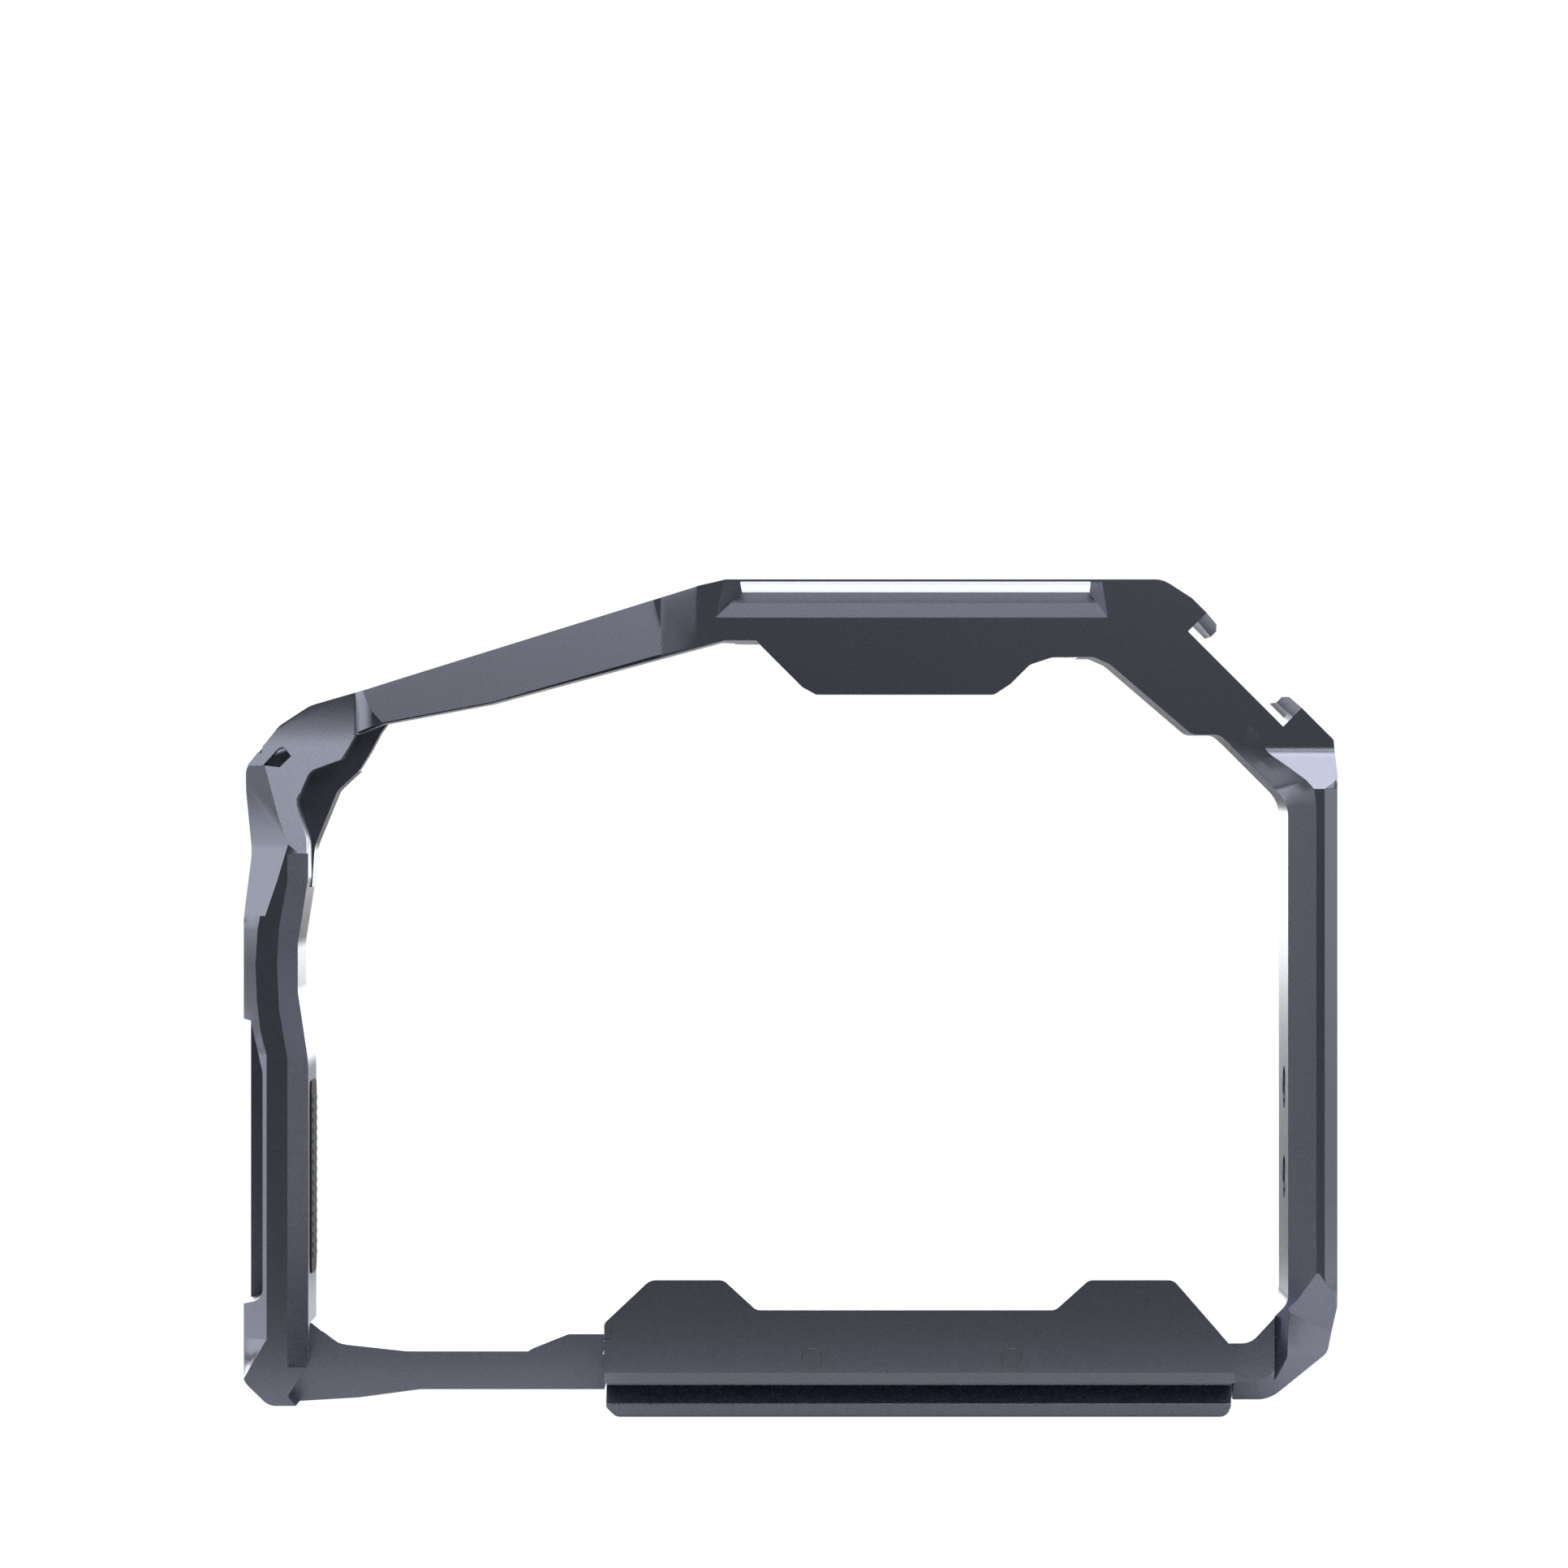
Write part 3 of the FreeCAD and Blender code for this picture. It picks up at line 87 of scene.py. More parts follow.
@dataclass(frozen=True)
class Finish:
    """A finish with a fine surface grain.

    Attributes:
        name: Name of the material.
        colour: Base colour, linear.
        other: Colour that large soft patches lean towards.
        metallic: Share of metal in the shader.
        roughness: Lowest and highest roughness.
        grain_mm: Size of the fine grain.
        bump_mm: Height of the fine grain.
        specular: Strength of the plain reflection.
    """

    name: str
    colour: tuple[float, float, float]
    other: tuple[float, float, float]
    metallic: float
    roughness: tuple[float, float]
    grain_mm: float
    bump_mm: float
    specular: float = 0.5

    def material(self) -> bpy.types.Material:
        """Builds the material once and returns it.

        Returns:
            The procedural material of this finish.
        """
        made = bpy.data.materials.get(self.name)
        if made is not None:
            return made
        made = bpy.data.materials.new(self.name)
        made.use_nodes = True
        nodes, links = made.node_tree.nodes, made.node_tree.links
        shader = nodes["Principled BSDF"]
        shader.inputs["Metallic"].default_value = self.metallic
        shader.inputs["Specular IOR Level"].default_value = self.specular
        place = nodes.new("ShaderNodeTexCoord")
        patches = self._noise(nodes, links, place, scale=35.0, detail=2.0)
        mix = nodes.new("ShaderNodeMix")
        mix.data_type = "RGBA"
        mix.inputs[6].default_value = (*self.colour, 1.0)
        mix.inputs[7].default_value = (*self.other, 1.0)
        links.new(patches.outputs["Fac"], mix.inputs[0])
        links.new(mix.outputs[2], shader.inputs["Base Color"])
        grain = self._noise(nodes, links, place, scale=1.0 / (self.grain_mm * MM), detail=3.0)
        spread = nodes.new("ShaderNodeMapRange")
        spread.inputs["From Min"].default_value = 0.3
        spread.inputs["From Max"].default_value = 0.7
        spread.inputs["To Min"].default_value = self.roughness[0]
        spread.inputs["To Max"].default_value = self.roughness[1]
        links.new(grain.outputs["Fac"], spread.inputs["Value"])
        links.new(spread.outputs["Result"], shader.inputs["Roughness"])
        bump = nodes.new("ShaderNodeBump")
        bump.inputs["Strength"].default_value = 0.35
        bump.inputs["Distance"].default_value = self.bump_mm * MM
        links.new(grain.outputs["Fac"], bump.inputs["Height"])
        links.new(bump.outputs["Normal"], shader.inputs["Normal"])
        return made

    @staticmethod
    def _noise(nodes: bpy.types.Nodes, links: bpy.types.NodeLinks, place: bpy.types.Node,
               scale: float, detail: float) -> bpy.types.Node:
        """Adds a noise pattern on object coordinates.

        Args:
            nodes: Nodes of the material.
            links: Links of the material.
            place: Texture coordinate node.
            scale: Repeats for each metre.
            detail: Octaves of the pattern.

        Returns:
            The noise node.
        """
        noise = nodes.new("ShaderNodeTexNoise")
        noise.inputs["Scale"].default_value = scale
        noise.inputs["Detail"].default_value = detail
        links.new(place.outputs["Object"], noise.inputs["Vector"])
        return noise


ANODISED = Finish("anodised_satin", (0.235, 0.245, 0.300), (0.225, 0.235, 0.290), 1.0, (0.27, 0.285), 0.25, 0.001)
DARK_STEEL = Finish("blackened_steel", (0.19, 0.195, 0.225), (0.17, 0.175, 0.2), 0.9, (0.25, 0.38), 0.3, 0.004)
STEEL = Finish("turned_steel", (0.55, 0.55, 0.56), (0.48, 0.48, 0.49), 1.0, (0.2, 0.34), 0.3, 0.003)
RUBBER = Finish("moulded_rubber", (0.018, 0.018, 0.019), (0.024, 0.024, 0.025), 0.0, (0.6, 0.8), 0.4, 0.02, 0.3)
MAGNET = Finish("nickel_plate", (0.62, 0.6, 0.55), (0.58, 0.56, 0.52), 1.0, (0.12, 0.2), 0.5, 0.002)
FINISH_OF_SLOT = {Slot.ANODISED: ANODISED, Slot.DARK_STEEL: DARK_STEEL, Slot.STEEL: STEEL,
                  Slot.RUBBER: RUBBER, Slot.MAGNET: MAGNET}


SLOT_OF_NODE = {part["node"]: Slot(part["material_slot"]) for part in frame["record"]["subparts"]}


# Modelling helpers

def only(piece: bpy.types.Object) -> None:
    """Deselects all, then selects the piece and makes it active."""
    bpy.ops.object.select_all(action="DESELECT")
    piece.select_set(True)
    bpy.context.view_layer.objects.active = piece


def edit(piece: bpy.types.Object, work: Callable[[], None]) -> None:
    """Runs operators on all of the piece's mesh in edit mode.

    Args:
        piece: Piece to work on.
        work: Calls the operators.
    """
    only(piece)
    bpy.ops.object.mode_set(mode="EDIT")
    bpy.ops.mesh.select_all(action="SELECT")
    work()
    bpy.ops.object.mode_set(mode="OBJECT")


def settle(piece: bpy.types.Object) -> None:
    """Moves the piece's place, turn and scale into its mesh."""
    only(piece)
    bpy.ops.object.transform_apply(location=True, rotation=True, scale=True)


def modify(piece: bpy.types.Object, kind: str, **settings: object) -> None:
    """Adds a modifier and applies it.

    Args:
        piece: Piece to change.
        kind: Type of the modifier.
        **settings: Values of the modifier.
    """
    only(piece)
    bpy.ops.object.modifier_add(type=kind)
    modifier = piece.modifiers[-1]
    for key, value in settings.items():
        setattr(modifier, key, value)
    bpy.ops.object.modifier_apply(modifier=modifier.name)


def smooth(piece: bpy.types.Object, degrees: float = 30.0) -> None:
    """Shades the piece smooth apart from edges sharper than the angle."""
    only(piece)
    bpy.ops.object.shade_smooth_by_angle(angle=math.radians(degrees))


def dress(piece: bpy.types.Object, finish: Finish) -> None:
    """Gives the whole piece one finish."""
    piece.data.materials.clear()
    piece.data.materials.append(finish.material())


def place_piece(piece: bpy.types.Object, body: Body, slot: Slot, replaced: Sequence[str] = ()) -> None:
    """Puts a finished piece on its body.

    Args:
        piece: Finished piece.
        body: Body that it rides on.
        slot: Material slot of its finish.
        replaced: CAD nodes that it stands for.
    """
    dress(piece, FINISH_OF_SLOT[slot])
    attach(piece, body.value)
    if replaced:
        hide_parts(*replaced)
    LOG.info("%s: %d faces on %s", piece.name, len(piece.data.polygons), body.value)


def copied_node(node: str, name: str) -> bpy.types.Object:
    """Copies a CAD node as one merged mesh with flat faces joined.

    Args:
        node: CAD node to copy.
        name: Name of the new piece.

    Returns:
        The new piece.
    """
    piece = bpy.data.objects.new(name, frame["nodes"][node].data.copy())
    bpy.context.scene.collection.objects.link(piece)
    only(piece)
    bpy.ops.mesh.customdata_custom_splitnormals_clear()

    def merge() -> None:
        bpy.ops.mesh.remove_doubles(threshold=0.002 * MM)
        bpy.ops.mesh.dissolve_limited(angle_limit=math.radians(1.0))

    edit(piece, merge)
    return piece


def break_edges(piece: bpy.types.Object, width_mm: float, degrees: float = 24.0, segments: int = 2) -> None:
    """Rounds every edge sharper than the angle, and keeps the large faces flat.

    Args:
        piece: Piece to change.
        width_mm: Width of the rounding.
        degrees: Smallest angle of an edge that is rounded.
        segments: Steps of the rounding.
    """
    modify(piece, "BEVEL", width=width_mm * MM, segments=segments, limit_method="ANGLE",
           angle_limit=math.radians(degrees), use_clamp_overlap=True)
    smooth(piece, 42.0)
    modify(piece, "WEIGHTED_NORMAL", mode="FACE_AREA", weight=100, keep_sharp=True, thresh=0.01)


def prism(points: Sequence[tuple[float, float]], axis: Axis, low: float, high: float) -> bpy.types.Object:
    """Makes a straight prism. Its outline is X-Z along Y, Y-Z along X and X-Y along Z, in millimetres.

    Args:
        points: Outline.
        axis: Direction that the prism runs in.
        low: Where it starts along that direction.
        high: Where it ends.

    Returns:
        The prism.
    """
    def corner(a: float, b: float) -> Vector:
        return Vector({Axis.Y: (a, low, b), Axis.X: (low, a, b), Axis.Z: (a, b, low)}[axis]) * MM

    bpy.ops.object.select_all(action="DESELECT")
    bpy.ops.mesh.primitive_circle_add(vertices=len(points), fill_type="NGON")
    made = bpy.context.object
    for vertex, point in zip(made.data.vertices, points):
        vertex.co = corner(*point)
    run = (high - low) * MM
    way = {Axis.Y: (0.0, run, 0.0), Axis.X: (run, 0.0, 0.0), Axis.Z: (0.0, 0.0, run)}[axis]

    def rise() -> None:
        bpy.ops.mesh.extrude_region_move(TRANSFORM_OT_translate={"value": way})
        bpy.ops.mesh.select_all(action="SELECT")
        bpy.ops.mesh.normals_make_consistent(inside=False)

    edit(made, rise)
    return made


def turn(piece: bpy.types.Object, degrees: tuple[float, float, float], place: tuple[float, float, float]) -> None:
    """Turns the piece about its origin, then moves it.

    Args:
        piece: Piece to turn.
        degrees: Turn about X, Y and Z.
        place: New place of its origin, in millimetres.
    """
    piece.rotation_euler = tuple(math.radians(angle) for angle in degrees)
    piece.location = Vector(place) * MM
    settle(piece)


def combine(piece: bpy.types.Object, tool: bpy.types.Object, operation: str) -> None:
    """Joins the tool to the piece or cuts it out of it, and removes the tool.

    Args:
        piece: Piece to change.
        tool: Closed mesh.
        operation: UNION or DIFFERENCE.
    """
    modify(piece, "BOOLEAN", operation=operation, object=tool, solver="EXACT")
    bpy.data.objects.remove(tool)


def facet_tool(stations: Sequence[tuple[tuple[float, float, float], tuple[float, float, float]]],
               front: float) -> bpy.types.Object:
    """Makes the cutter of a slanted front face from stations of a border point and an edge point.

    Args:
        stations: Border and edge points (x, y, z) from one end to the other, in millimetres.
        front: Depth ahead of the piece.

    Returns:
        The closed cutter.
    """
    rows = []
    for border, edge in stations:
        a, b = Vector(border), Vector(edge)
        near, far = a - (b - a) * 0.4, b + (b - a) * 0.6
        rows.append((near, far, Vector((far.x, front, far.z)), Vector((near.x, front, near.z))))
    bpy.ops.object.select_all(action="DESELECT")
    bpy.ops.mesh.primitive_circle_add(vertices=4, fill_type="NGON")
    made = bpy.context.object
    for vertex, point in zip(made.data.vertices, rows[0]):
        vertex.co = point * MM
    for row in rows[1:]:
        edit(made, partial(step_face, made))
        last = [v for v in made.data.vertices if v.select]
        for vertex, point in zip(last, row):
            vertex.co = point * MM
    edit(made, lambda: bpy.ops.mesh.normals_make_consistent(inside=False))
    return made


def step_face(made: bpy.types.Object) -> None:
    """Extrudes the piece's newest face in edit mode and leaves the new one selected."""
    bpy.ops.mesh.select_all(action="DESELECT")
    bpy.ops.object.mode_set(mode="OBJECT")
    count = len(made.data.vertices)
    for face in made.data.polygons:
        face.select = all(i >= count - 4 for i in face.vertices)
    bpy.ops.object.mode_set(mode="EDIT")
    bpy.ops.mesh.extrude_region_move(TRANSFORM_OT_translate={"value": (0.0, 0.0, 0.001)})


# Sub-assemblies

@dataclass
class MachinedFrame:
    """The four machined pieces, with broken edges.

    Attributes:
        edge_mm: Width of the broken edges.
        edge_degrees: Edges sharper than this are broken.
        nodes: CAD nodes of the pieces.
        filler: X-Z outline that fills the grip-side corner before it is cut again.
        filler_depth: Y range of that filling.
        lean: Y-Z outline of the leaning face's cutter, from its pivot.
        lean_turn: Turn of that cutter about Z, in degrees.
        lean_pivot: Point that the cutter is turned about.
        lean_reach: Half length of the cutter.
        outer_facet: Border and edge points of the outer facet, from its lower end up.
        cutter_front: Y where the front cutters start.
        strap_eye: X-Z outline of the strap eye.
        strap_eye_depth: Y range of the strap eye.
        arm_web: X-Z outline of the web behind the arm's seam.
        arm_web_depth: Y range of that web.
        arm_face: Y-Z outline of the cutter of the arm's face, from the arm's lower edge.
        arm_filler: X-Z outline that fills the arm before its face is cut.
        arm_filler_depth: Y range of that filling.
        arm_rise: Rise of the arm's lower edge over its run.
        arm_corner: Lower end of the arm at its seam.
        arm_run: Start and end of the face's cutter from there.
        arm_end: X-Y outline of the arm's rounded end.
        arm_end_heights: Z range of that end.
        plateau_end: X-Z outline of the slant at the plateau's left end.
        plateau_depth: Y range of that slant.
        rail_filler: X-Z outline that closes the dowel seats under the rail's slope.
        rail_filler_depth: Y range of that filling.
    """

    edge_mm: float = 0.3
    edge_degrees: float = 24.0
    nodes: tuple[str, ...] = ("left_post", "top_plate", "side_frame", "base_plate")

    filler: tuple[tuple[float, float], ...] = (
        (-86.92, 81.0), (-90.0, 81.0), (-93.9, 92.9), (-93.4, 96.4), (-88.0, 97.4), (-83.0, 96.2), (-82.6, 94.45),
        (-86.3, 93.05), (-86.75, 92.7), (-88.42, 88.9), (-88.45, 88.0), (-87.0, 83.2))
    lean: tuple[tuple[float, float], ...] = ((-12.0, -6.3), (-0.9, -6.3), (2.28, 16.0), (2.28, 30.0), (-12.0, 30.0))
    filler_depth: tuple[float, float] = (-18.0, -12.0)
    lean_turn: float = 6.8
    lean_pivot: tuple[float, float, float] = (-89.6, -18.0, 82.3)
    lean_reach: float = 14.0
    cutter_front: float = -26.0
    strap_eye_depth: tuple[float, float] = (-20.0, -10.5)
    arm_web_depth: tuple[float, float] = (-5.95, -1.5)
    arm_filler_depth: tuple[float, float] = (-17.99, -13.0)
    arm_corner: tuple[float, float, float] = (-80.1, 0.0, 98.1)
    arm_run: tuple[float, float] = (-2.0, 46.6)
    arm_end_heights: tuple[float, float] = (90.0, 112.0)
    plateau_depth: tuple[float, float] = (-21.0, 26.0)
    rail_filler_depth: tuple[float, float] = (-8.9, 3.9)
    outer_facet: tuple[tuple[tuple[float, float, float], tuple[float, float, float]], ...] = (
        ((-92.9, -18.0, 72.0), (-96.3, -15.2, 72.0)), ((-91.2, -18.0, 77.0), (-96.0, -14.1, 77.0)),
        ((-89.6, -18.0, 82.3), (-95.9, -12.9, 82.3)), ((-93.0, -16.82, 93.65), (-96.2, -14.6, 93.65)))
    arm_face: tuple[tuple[float, float], ...] = ((-30.0, -6.0), (-19.1, -6.0), (-15.58, 10.0), (-30.0, 10.0))
    arm_filler: tuple[tuple[float, float], ...] = (
        (-80.05, 98.35), (-76.2, 99.85), (-60.4, 102.8), (-36.0, 109.7), (-36.0, 117.75), (-80.05, 104.1))
    arm_rise: float = 0.26
    rail_filler: tuple[tuple[float, float], ...] = ((-85.2, 11.637), (-83.0, 10.03), (-83.0, 8.0), (-85.2, 8.0))
    arm_end: tuple[tuple[float, float], ...] = (
        (-80.3, -15.1), (-79.2, -16.3), (-77.6, -17.2), (-74.8, -18.0), (-74.8, -21.0), (-80.3, -21.0))
    plateau_end: tuple[tuple[float, float], ...] = (
(-31.9, 119.29), (-31.5, 119.38), (-22.3, 121.5), (-31.9, 121.5))
    strap_eye: tuple[tuple[float, float], ...] = (
        (-93.3, 93.7), (-91.1, 96.15), (-90.6, 96.35), (-90.1, 96.15), (-89.3, 95.0), (-90.9, 93.4))
    arm_web: tuple[tuple[float, float], ...] = (
        (-80.05, 99.4), (-75.6, 100.2), (-76.9, 98.4), (-78.4, 95.6), (-80.05, 92.95))

    def build(self) -> None:
        """Builds every piece and puts it on the frame."""
        for node in self.nodes:
            self.piece(node)

    def shape_grip_corner(self, made: bpy.types.Object) -> None:
        """Gives the grip-side top corner its leaning face, side facet and strap eye.

        Args:
            made: Copy of the grip-side post.
        """
        combine(made, prism(self.filler, Axis.Y, *self.filler_depth), "UNION")
        lean = prism(self.lean, Axis.X, -self.lean_reach, self.lean_reach)
        turn(lean, (0.0, 0.0, self.lean_turn), self.lean_pivot)
        combine(made, lean, "DIFFERENCE")
        combine(made, facet_tool(self.outer_facet, self.cutter_front), "DIFFERENCE")
        combine(made, prism(self.strap_eye, Axis.Y, *self.strap_eye_depth), "DIFFERENCE")

    def shape_arm(self, made: bpy.types.Object) -> None:
        """Gives the arm its flat leaning face, rounded end and rear web, and slants the plateau's end.

        Args:
            made: Copy of the top plate.
        """
        combine(made, prism(self.arm_web, Axis.Y, *self.arm_web_depth), "UNION")
        combine(made, prism(self.arm_filler, Axis.Y, *self.arm_filler_depth), "UNION")
        face = prism(self.arm_face, Axis.X, *self.arm_run)
        turn(face, (0.0, -math.degrees(math.atan(self.arm_rise)), 0.0), self.arm_corner)
        combine(made, face, "DIFFERENCE")
        combine(made, prism(self.arm_end, Axis.Z, *self.arm_end_heights), "DIFFERENCE")
        combine(made, prism(self.plateau_end, Axis.Y, *self.plateau_depth), "DIFFERENCE")

    def piece(self, node: str) -> bpy.types.Object:
        """Makes one piece from its CAD node.

        Args:
            node: CAD node of the piece.

        Returns:
            The finished piece.
        """
        made = copied_node(node, f"{node}_machined")
        if node == "left_post":
            self.shape_grip_corner(made)
        elif node == "top_plate":
            self.shape_arm(made)
        elif node == "side_frame":
            combine(made, prism(self.rail_filler, Axis.Y, *self.rail_filler_depth), "UNION")
        TappedHoles().bore(made, node)
        break_edges(made, self.edge_mm, self.edge_degrees)
        place_piece(made, Body.FRAME, Slot.ANODISED, [node])
        return made


@dataclass
class SoftenedNodes:
    """Small CAD nodes that are copied with finely broken edges.

    Attributes:
        widths_mm: Width of the broken edges for each node.
        bodies: Body of each node that doesn't ride on the frame.
        right_ends_mm: X where a node is cut off.
        hinge_out_mm: The ring's hinge wire reaches past this on both sides.
        hinge_radius_mm: Points of the ring this near to its hinge line belong to the wire.
        hinge_thinner: Share by which the wire is thinned.
    """

    widths_mm: dict[str, float] = field(default_factory=lambda: {
        "front_pins": 0.14, "bottom_left_dowels": 0.1, "top_left_screws": 0.12, "bottom_left_screws": 0.12,
        "top_right_screws": 0.12,
        "base_plate_screws": 0.12, "key_magnets": 0.1, "skirt_pad": 0.2, "camera_screw_clip": 0.08,
        "camera_screw_ring": 0.08, "screwdriver_key": 0.25})
    bodies: dict[str, Body] = field(default_factory=lambda: {
        "camera_screw_clip": Body.CARRIER, "camera_screw_ring": Body.RING, "screwdriver_key": Body.KEY})

    right_ends_mm: dict[str, float] = field(default_factory=lambda: {"bottom_left_dowels": -85.4})

    hinge_out_mm: float = 5.5
    hinge_radius_mm: float = 0.458
    hinge_thinner: float = 0.12

    def thin_hinge(self, made: bpy.types.Object) -> None:
        """Thins the ring's hinge wire a little.

        Args:
            made: Copy of the ring.
        """
        ends = [vertex.co for vertex in made.data.vertices if abs(vertex.co.x) > self.hinge_out_mm * MM]
        middle = sum(ends, Vector()) / len(ends)
        for vertex in made.data.vertices:
            off = Vector((0.0, vertex.co.y - middle.y, vertex.co.z - middle.z))
            if off.length < self.hinge_radius_mm * MM:
                vertex.co -= off * self.hinge_thinner

    def build(self) -> None:
        """Builds one softened piece for each node."""
        for node, width in self.widths_mm.items():
            made = copied_node(node, f"{node}_softened")
            if node in self.right_ends_mm:
                end = (self.right_ends_mm[node] * MM, 0.0, 0.0)
                edit(made, partial(bpy.ops.mesh.bisect, plane_co=end, plane_no=(1.0, 0.0, 0.0), clear_outer=True,
                                   use_fill=True))
            if node == "camera_screw_ring":
                self.thin_hinge(made)
            break_edges(made, width)
            place_piece(made, self.bodies.get(node, Body.FRAME), SLOT_OF_NODE[node], [node])


@dataclass(frozen=True)
class Thread:
    """Size of a screw thread, in millimetres.

    Attributes:
        crest: Radius of the crests.
        root: Radius of the roots.
        pitch: Advance for each turn.
    """

    crest: float
    root: float
    pitch: float

    def surface(self, name: str, length: float) -> bpy.types.Object:
        """Makes the helical surface round Z, from 0 up to a length.

        Args:
            name: Name of the piece.
            length: Length of the thread, in millimetres.

        Returns:
            The new piece.
        """
        bpy.ops.object.select_all(action="DESELECT")
        bpy.ops.mesh.primitive_plane_add(size=1.0)
        made = bpy.context.object
        made.name = name
        bpy.ops.object.mode_set(mode="EDIT")
        bpy.ops.mesh.select_all(action="DESELECT")
        bpy.ops.object.mode_set(mode="OBJECT")
        made.data.vertices[0].select = True
        bpy.ops.object.mode_set(mode="EDIT")
        bpy.ops.mesh.delete(type="VERT")
        bpy.ops.object.mode_set(mode="OBJECT")
        made.rotation_euler = (math.radians(90.0), 0.0, 0.0)
        only(made)
        bpy.ops.object.transform_apply(location=True, rotation=True, scale=True)
        made.rotation_euler = (0.0, math.radians(45.0), 0.0)
        bpy.ops.object.transform_apply(location=True, rotation=True, scale=True)
        half = math.sqrt(0.5)
        made.scale = ((self.crest - self.root) / half * MM, 1.0, self.pitch / (2 * half) * MM)
        bpy.ops.object.transform_apply(location=True, rotation=True, scale=True)
        made.location = (self.root * MM, 0.0, -self.pitch * MM)
        bpy.ops.object.transform_apply(location=True, rotation=True, scale=True)
        turns = math.ceil(length / self.pitch) + 2
        modify(made, "SCREW", axis="Z", screw_offset=self.pitch * MM, iterations=turns, steps=28, render_steps=28,
               use_merge_vertices=True, merge_threshold=0.01 * MM)

        def trim() -> None:
            bpy.ops.mesh.bisect(plane_co=(0.0, 0.0, length * MM), plane_no=(0.0, 0.0, 1.0), clear_outer=True)
            bpy.ops.mesh.select_all(action="SELECT")
            bpy.ops.mesh.bisect(plane_co=(0.0, 0.0, 0.0), plane_no=(0.0, 0.0, 1.0), clear_inner=True)
            bpy.ops.mesh.select_all(action="SELECT")
            bpy.ops.mesh.normals_make_consistent(inside=self.crest < self.root)

        edit(made, trim)
        smooth(made, 25.0)
        return made


QUARTER = Thread(crest=2.56, root=3.1, pitch=1.27)
THREE_EIGHT = Thread(crest=3.96, root=4.65, pitch=1.5875)
CAMERA_THREAD = Thread(crest=3.16, root=2.6, pitch=1.27)


@dataclass(frozen=True)
class Tapped:
    """A tapped hole of the frame.

    Attributes:
        name: Name of its thread.
        node: Frame piece that it is in.
        start: Middle of its lower end, in millimetres.
        length: Its length, in millimetres.
        axis: Direction that it runs in.
        thread: Size of its thread.
        through: Whether it opens at its far end.
    """

    name: str
    node: str
    start: tuple[float, float, float]
    length: float
    axis: Axis
    thread: Thread = QUARTER
    through: bool = True


TAPPED = (
    Tapped("top_thread_front", "top_plate", (-19.5, 2.0, 111.7), 8.8, Axis.Z),
    Tapped("top_thread_rear", "top_plate", (-19.5, 12.0, 111.7), 8.8, Axis.Z),
    Tapped("top_thread_locating", "top_plate", (19.5, 9.0, 111.7), 8.8, Axis.Z, THREE_EIGHT),
    Tapped("side_thread_low", "side_frame", (54.4, -7.5, 34.0), 7.1, Axis.X),
    Tapped("side_thread_high", "side_frame", (54.4, -7.5, 47.0), 7.1, Axis.X),
    Tapped("post_thread_low", "left_post", (-93.3, -6.5, 30.0), 6.4, Axis.X),
    Tapped("post_thread_high", "left_post", (-93.3, -6.5, 43.0), 6.4, Axis.X),
    Tapped("foot_thread", "base_plate", (19.0, 0.0, 0.0), 5.5, Axis.Z, QUARTER, False),
)


@dataclass
class TappedHoles:
    """Real threads in the tapped holes.

    Attributes:
        holes: The holes.
        chamfer_mm: Step of the countersink at each open end.
    """

    holes: tuple[Tapped, ...] = TAPPED
    chamfer_mm: float = 0.3

    def bore(self, piece: bpy.types.Object, node: str) -> None:
        """Opens the holes of one frame piece to the root of their threads.

        Args:
            piece: Machined copy of the node.
            node: Node that it was copied from.
        """
        for hole in (h for h in self.holes if h.node == node):
            way = {Axis.X: Vector((1.0, 0.0, 0.0)), Axis.Y: Vector((0.0, 1.0, 0.0)), Axis.Z: Vector((0.0, 0.0, 1.0))}
            low = -1.0
            high = hole.length + (1.0 if hole.through else -0.3)
            middle = Vector(hole.start) + way[hole.axis] * ((low + high) / 2)
            bpy.ops.object.select_all(action="DESELECT")
            bpy.ops.mesh.primitive_cylinder_add(vertices=56, radius=(hole.thread.root + 0.02) * MM,
                                                depth=(high - low) * MM, location=middle * MM,
                                                rotation=hole.axis.value)
            cutter = bpy.context.object
            settle(cutter)
            modify(piece, "BOOLEAN", operation="DIFFERENCE", object=cutter, solver="EXACT")
            bpy.data.objects.remove(cutter)

    def build(self) -> None:
        """Adds the thread of every hole."""
        for hole in self.holes:
            made = hole.thread.surface(hole.name, hole.length - 2 * self.chamfer_mm)
            made.rotation_euler = hole.axis.value
            settle(made)
            step = {Axis.X: (self.chamfer_mm, 0.0, 0.0), Axis.Z: (0.0, 0.0, self.chamfer_mm)}[hole.axis]
            made.location = (Vector(hole.start) + Vector(step)) * MM
            settle(made)
            place_piece(made, Body.FRAME, Slot.ANODISED)


